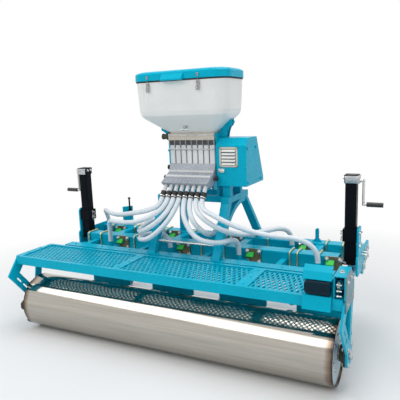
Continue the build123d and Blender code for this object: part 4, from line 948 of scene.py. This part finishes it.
# Saddles: gusset plates and bolts under the slopes of the tank
GUSSETS = [     # outline in x and z, from the cheek out along the funnel
    [(CHEEK_X, 1358), (CHEEK_X, 1398), (274, 1470), (282, 1458), (262, 1440), (244, 1396),
     (238, 1358)],
    [(-CHEEK_X, 1344), (-CHEEK_X, 1396), (-272, 1442), (-280, 1432), (-246, 1404), (-226, 1344)],
]
GUSSET_R = (495.0, 540.0)       # rear faces of the two plates
GUSSET_T = 5.0
GUSSET_BOLT_Z = 1378.0          # where the row of bolts starts at the cheek
gusset_bm = bmesh.new()
gusset_bolt_bm = bmesh.new()
for outline in GUSSETS:
    for r in GUSSET_R:
        loft(gusset_bm, [[at(x, r + t, z) for x, z in outline] for t in (0.0, GUSSET_T)])
    for share in (0.3, 0.7):
        x = outline[0][0] + share * (outline[2][0] - outline[0][0])
        z = GUSSET_BOLT_Z + share * (outline[3][1] - GUSSET_BOLT_Z)
        bolt(gusset_bolt_bm, at(x, GUSSET_R[0], z), -Y, 15, 7)
piece("saddle_gussets", gusset_bm, "paint", MAIN, smooth=0)
piece("saddle_bolts", gusset_bolt_bm, "paint", MAIN)

# Lid: rolled lower edge
LID_OUT = 7.0           # past the tank's rim
LID_EDGE_Z = 1753.5
lid_bm = bmesh.new()
rod(lid_bm, rim_loop(LID_OUT, LID_EDGE_Z), 3.0, 8, closed=True)
piece("lid_beads", lid_bm, "paint", "lid")

# Seed meter: grey cells behind wires, webs between the chutes, louvre backing, rods and bolts,
# ridges of the manifold, hose clips, knobs and motor
CELL_R = 427.0
CELL_Z = 1327.0
CELL_SIZE = (37, 8, 32)
WIRE_R = 421.0
WIRE_DX = (-14, -7, 0, 7, 14)
WIRE_HALF = 14.0        # half a wire's length
WEB_AT = (452.0, 1245.0)        # r, z
WEB_SIZE = (3.4, 40, 126)
LOUVRE_X = 280.0
SLAT_Z = [1184 + 22 * i for i in range(5)]
CROSS_ROD = [(-180, 424, 1282), (180, 424, 1282)]
TOP_ROD = [(-176, 416, 1377), (176, 416, 1377)]
ROD_BOLT = (446.0, 1272.0)      # r, z
CHEEK_BOLT_R = (470, 640)
CHEEK_BOLT_Z = (1100, 1220, 1330)
BAR_STEP = 43.5         # from bar to bar between the cells
BAR_R = 425.0
BAR_SIZE = (4, 6, 32)
RIDGE_AT = (0, 403, 1129)
RIDGE_SIZE = (348, 16, 16)
LOW_RIDGE_AT = (0, 352, 1101)
LOW_RIDGE_SIZE = (346, 20, 12)
LOW_RIDGE_TILT = 0.5    # radians
CLIP_AT = 88.0          # along the nozzle
CLIP_BAND = [(0, 20.2), (0.5, 21.0), (7.5, 21.0), (8, 20.2)]
CLIP_SCREW = [(0, 3.4), (5, 3.4)]
KNOBS = [(-1, 452, 1150), (-1, 395, 1085), (1, 395, 1085)]      # side, r, z
KNOB = [(0, 6), (14, 6), (15, 15), (18, 17), (28, 17), (31, 13)]
KNOB_X = 177.0
MOTOR_R = 458.0
MOTOR_Z = 1368.0
MOTOR_BOLT_R = 26.0
MOTOR_FLANGE = 6.0
MOTOR = [(0, 30), (6, 30), (7, 19), (46, 19), (47, 21), (54, 21), (58, 16), (60, 6)]
cell_bm = bmesh.new()
for x in OUTLET_X:
    block(cell_bm, at(x, CELL_R, CELL_Z), CELL_SIZE, 2.0)
    for dx in WIRE_DX:
        wire = [at(x + dx, WIRE_R, CELL_Z + dz) for dz in (-WIRE_HALF, WIRE_HALF)]
        rod(cell_bm, wire, 1.6, 6)
for x in OUTLET_X[:-1]:
    block(cell_bm, at(x + OUTLET_STEP / 2, *WEB_AT), WEB_SIZE, 0.8)
for z in SLAT_Z:
    block(cell_bm, at(LOUVRE_X, HOUSING_R - 1, z), (106, 2.4, 20), 0.8)
piece("meter_cells", cell_bm, "black_rubber", MAIN, mat=CELL)
bar_bm = bmesh.new()
rod(bar_bm, [at(*spot) for spot in CROSS_ROD], 5.0, 12)
bolt(bar_bm, at(-CHEEK_X, *ROD_BOLT), -X, 15, 7)
for z in CHEEK_BOLT_Z:
    for r in CHEEK_BOLT_R:
        bolt(bar_bm, at(-CHEEK_X, r, z), -X, 13, 6)
for i in range(OUTLETS + 1):
    block(bar_bm, at((i - OUTLETS / 2) * BAR_STEP, BAR_R, CELL_Z), BAR_SIZE, 1.0)
rod(bar_bm, [at(*spot) for spot in TOP_ROD], 3.0, 8)
piece("meter_rods", bar_bm, "galvanised", MAIN)
ridge_bm = bmesh.new()
block(ridge_bm, at(*RIDGE_AT), RIDGE_SIZE, 3.0)
low_tilt = Matrix.Rotation(LOW_RIDGE_TILT, 4, "X")
block(ridge_bm, at(*LOW_RIDGE_AT), LOW_RIDGE_SIZE, 3.0, low_tilt)
piece("manifold_ridge", ridge_bm, "clear_plastic", MAIN)
clip_bm = bmesh.new()
clip_out = Vector((0, -0.8, 0.6)) * 0.0235
for x in OUTLET_X:
    spot = nozzle(x, CLIP_AT)
    lathe(clip_bm, spot - NOZZLE_DOWN * 0.004, NOZZLE_DOWN, CLIP_BAND, 24)
    block(clip_bm, spot + clip_out, (12, 8, 8), 1.0, spin_frame(NOZZLE_DOWN))
    lathe(clip_bm, spot + clip_out + X * 0.006, X, CLIP_SCREW, 6)
piece("hose_clips", clip_bm, "zinc_steel", MAIN)
knob_bm = bmesh.new()
for hand, r, z in KNOBS:
    lathe(knob_bm, at(hand * KNOB_X, r, z), hand * X, KNOB, 16)
piece("manifold_knobs", knob_bm, "black_rubber", MAIN)
motor_bm = bmesh.new()
lathe(motor_bm, at(-CHEEK_X, MOTOR_R, MOTOR_Z), -X, MOTOR, 28)
for i in range(4):
    angle = math.radians(45 + 90 * i)
    r, z = MOTOR_R + MOTOR_BOLT_R * math.cos(angle), MOTOR_Z + MOTOR_BOLT_R * math.sin(angle)
    bolt(motor_bm, at(-CHEEK_X - MOTOR_FLANGE, r, z), -X, 7, 3, False)
piece("meter_motor", motor_bm, "bearing_paint", MAIN)

# Drive housing: louvre in its frame, latch handle and screws
LOUVRE_Z = 1229.0
FRAME_DX = 59.0         # middle of the louvre's frame bars, from the louvre's middle
FRAME_DZ = 60.0
LOUVRE_FRAME = [    # x and z from the louvre's middle, width, height
    (-FRAME_DX, 0, 14, 134), (FRAME_DX, 0, 14, 134),
    (0, FRAME_DZ, 132, 14), (0, -FRAME_DZ, 132, 14),
]
FRAME_T = 5.0
SLAT_SIZE = (98, 4, 17)
SLAT_TILT = -0.55       # radians
FRAME_SCREW = [(0, 5), (1.6, 4.4), (2.4, 2)]
PANEL_SCREW = [(0, 6), (1.8, 5.4), (2.8, 2.5)]
PANEL_SCREWS = [    # x, z
    (202, (1044, 1150, 1292)),
    (310, (1044, 1150)),
    (393, (1044, 1150, 1292)),
]
HANDLE_PLATE_AT = (226, 416.5, 1138)
HANDLE_PLATE = (44, 7, 26)
HANDLE = [(208, 412, 1138), (212, 404, 1140), (232, 399, 1142), (256, 402, 1140)]
HOUSING_X = 405.0       # outer face
HOUSING_BOLTS = [(445, 1055), (700, 1055), (445, 1285), (600, 1285)]    # r, z
louvre_bm = bmesh.new()
for dx, dz, width, height in LOUVRE_FRAME:
    spot = at(LOUVRE_X + dx, HOUSING_R - FRAME_T / 2, LOUVRE_Z + dz)
    block(louvre_bm, spot, (width, FRAME_T, height), 1.2)
slat_bm = bmesh.new()
for z in SLAT_Z:
    tilt = Matrix.Rotation(SLAT_TILT, 4, "X")
    block(slat_bm, at(LOUVRE_X, HOUSING_R - FRAME_T - 1, z), SLAT_SIZE, 1.6, tilt)
for dx in (-FRAME_DX, FRAME_DX):
    for dz in (-FRAME_DZ, FRAME_DZ):
        spot = at(LOUVRE_X + dx, HOUSING_R - FRAME_T, LOUVRE_Z + dz)
        lathe(louvre_bm, spot, -Y, FRAME_SCREW, 12)
piece("housing_louvre", louvre_bm, "galvanised", MAIN, mat=BEIGE)
piece("louvre_slats", slat_bm, "galvanised", MAIN, mat=SLAT)
handle_bm = bmesh.new()
block(handle_bm, at(*HANDLE_PLATE_AT), HANDLE_PLATE, 2.0)
rod(handle_bm, [at(*spot) for spot in HANDLE], 5.0)
screw_bm = bmesh.new()
for x, places in PANEL_SCREWS:
    for z in places:
        lathe(screw_bm, at(x, HOUSING_R, z), -Y, PANEL_SCREW, 12)
for r, z in HOUSING_BOLTS:
    bolt(screw_bm, at(HOUSING_X, r, z), X, 13, 5)
piece("housing_handle", handle_bm, "zinc_steel", MAIN)
piece("housing_screws", screw_bm, "paint", MAIN)

# Hitch: lynch pins on the lower link pins, and the bolts of the link plates
LINK_X = 466.0
LINK_R = 1039.2
LYNCH_Z = (440.0, 396.0)        # ends of the lynch pin
LINK_PLATE_X = 388.0
LINK_BOLT_R = 927.0
LINK_BOLT_Z = (555, 500, 450)
LYNCH_RING_R = 22.0
hitch_bm = bmesh.new()
for hand in HANDS:
    rod(hitch_bm, [at(hand * LINK_X, LINK_R, z) for z in LYNCH_Z], 4.5)
    ring(hitch_bm, at(hand * LINK_X, LINK_R, LYNCH_Z[0]), Z, Y, LYNCH_RING_R, 2.4)
    for z in LINK_BOLT_Z:
        bolt(hitch_bm, at(hand * LINK_PLATE_X, LINK_BOLT_R, z), hand * X, 19, 8)
piece("hitch_fittings", hitch_bm, "zinc_steel", MAIN)

# Stage: pale floor that fades into a white surround, and soft light
FLOOR_HALF = 30.0       # metres, as all of the stage
FADE_FROM = 1.6
FADE_TO = 3.4
LAMPS = [       # name, place, aim, width, height, watts
    ("key", (-3.0, -3.5, 5.0), (-1.0, 0.0, 0.6), 7.5, 3.0, 140),
    ("top", (0.8, 0.5, 6.0), (0.0, 0.0, 0.8), 3.5, 3.5, 140),
    ("fill", (5.0, -2.0, 3.0), (0.0, 0.0, 0.8), 2.6, 2.6, 35),
]


def seen_rays(tree):
    """1 for rays that show the surround, straight, mirrored or through plastic, else 0."""
    rays = tree.nodes.new("ShaderNodeLightPath").outputs
    shown = rays["Is Camera Ray"]
    for kind in ("Is Glossy Ray", "Is Transmission Ray"):
        either = tree.nodes.new("ShaderNodeMath")
        either.operation = "MAXIMUM"
        tree.links.new(shown, either.inputs[0])
        tree.links.new(rays[kind], either.inputs[1])
        shown = either.outputs[0]
    return shown


floor_mesh = bpy.data.meshes.new("floor")
corners = [(FLOOR_HALF * sx, FLOOR_HALF * sy, 0) for sx, sy in ((-1, -1), (1, -1), (1, 1), (-1, 1))]
floor_mesh.from_pydata(corners, [], [(0, 1, 2, 3)])
floor = add("floor", floor_mesh)
matt = Paint("floor_pale", 0.9)
matt.colour(matt.mix(matt.noise(0.6, 3.0), (0.84, 0.84, 0.84), (0.88, 0.88, 0.88)))
far = matt.node("ShaderNodeVectorMath", operation="LENGTH")
matt.link(matt.coord, far.inputs[0])
fade = matt.ramp(far.outputs["Value"], FADE_FROM, FADE_TO)
glow = matt.node("ShaderNodeEmission")
joined = matt.node("ShaderNodeMixShader")
matt.link(matt.math("MULTIPLY", fade, seen_rays(matt.tree)), joined.inputs[0])
matt.link(matt.shader.outputs[0], joined.inputs[1])
matt.link(glow.outputs[0], joined.inputs[2])
matt.link(joined.outputs[0], matt.tree.nodes["Material Output"].inputs["Surface"])
floor_mesh.materials.append(matt.mat)

world = bpy.data.worlds.new("surround")
bpy.context.scene.world = world
world.use_nodes = True
tree = world.node_tree
tree.nodes.clear()
seen = tree.nodes.new("ShaderNodeBackground")
seen.inputs["Color"].default_value = (1, 1, 1, 1)
seen.inputs["Strength"].default_value = 1.0
lit = tree.nodes.new("ShaderNodeBackground")
lit.inputs["Color"].default_value = (0.93, 0.97, 1.0, 1)
lit.inputs["Strength"].default_value = 0.5
blend = tree.nodes.new("ShaderNodeMixShader")
tree.links.new(seen_rays(tree), blend.inputs[0])
tree.links.new(lit.outputs[0], blend.inputs[1])
tree.links.new(seen.outputs[0], blend.inputs[2])
out = tree.nodes.new("ShaderNodeOutputWorld")
tree.links.new(blend.outputs[0], out.inputs[0])

for name, place, aim, width, height, watts in LAMPS:
    light = bpy.data.lights.new(name, "AREA")
    light.shape = "RECTANGLE"
    light.size = width
    light.size_y = height
    light.energy = watts
    toward = (Vector(aim) - Vector(place)).to_track_quat("-Z", "Y").to_matrix().to_4x4()
    add(name, light).matrix_world = Matrix.Translation(place) @ toward

bpy.context.scene.view_settings.view_transform = "Standard"
bpy.context.scene.view_settings.look = "None"
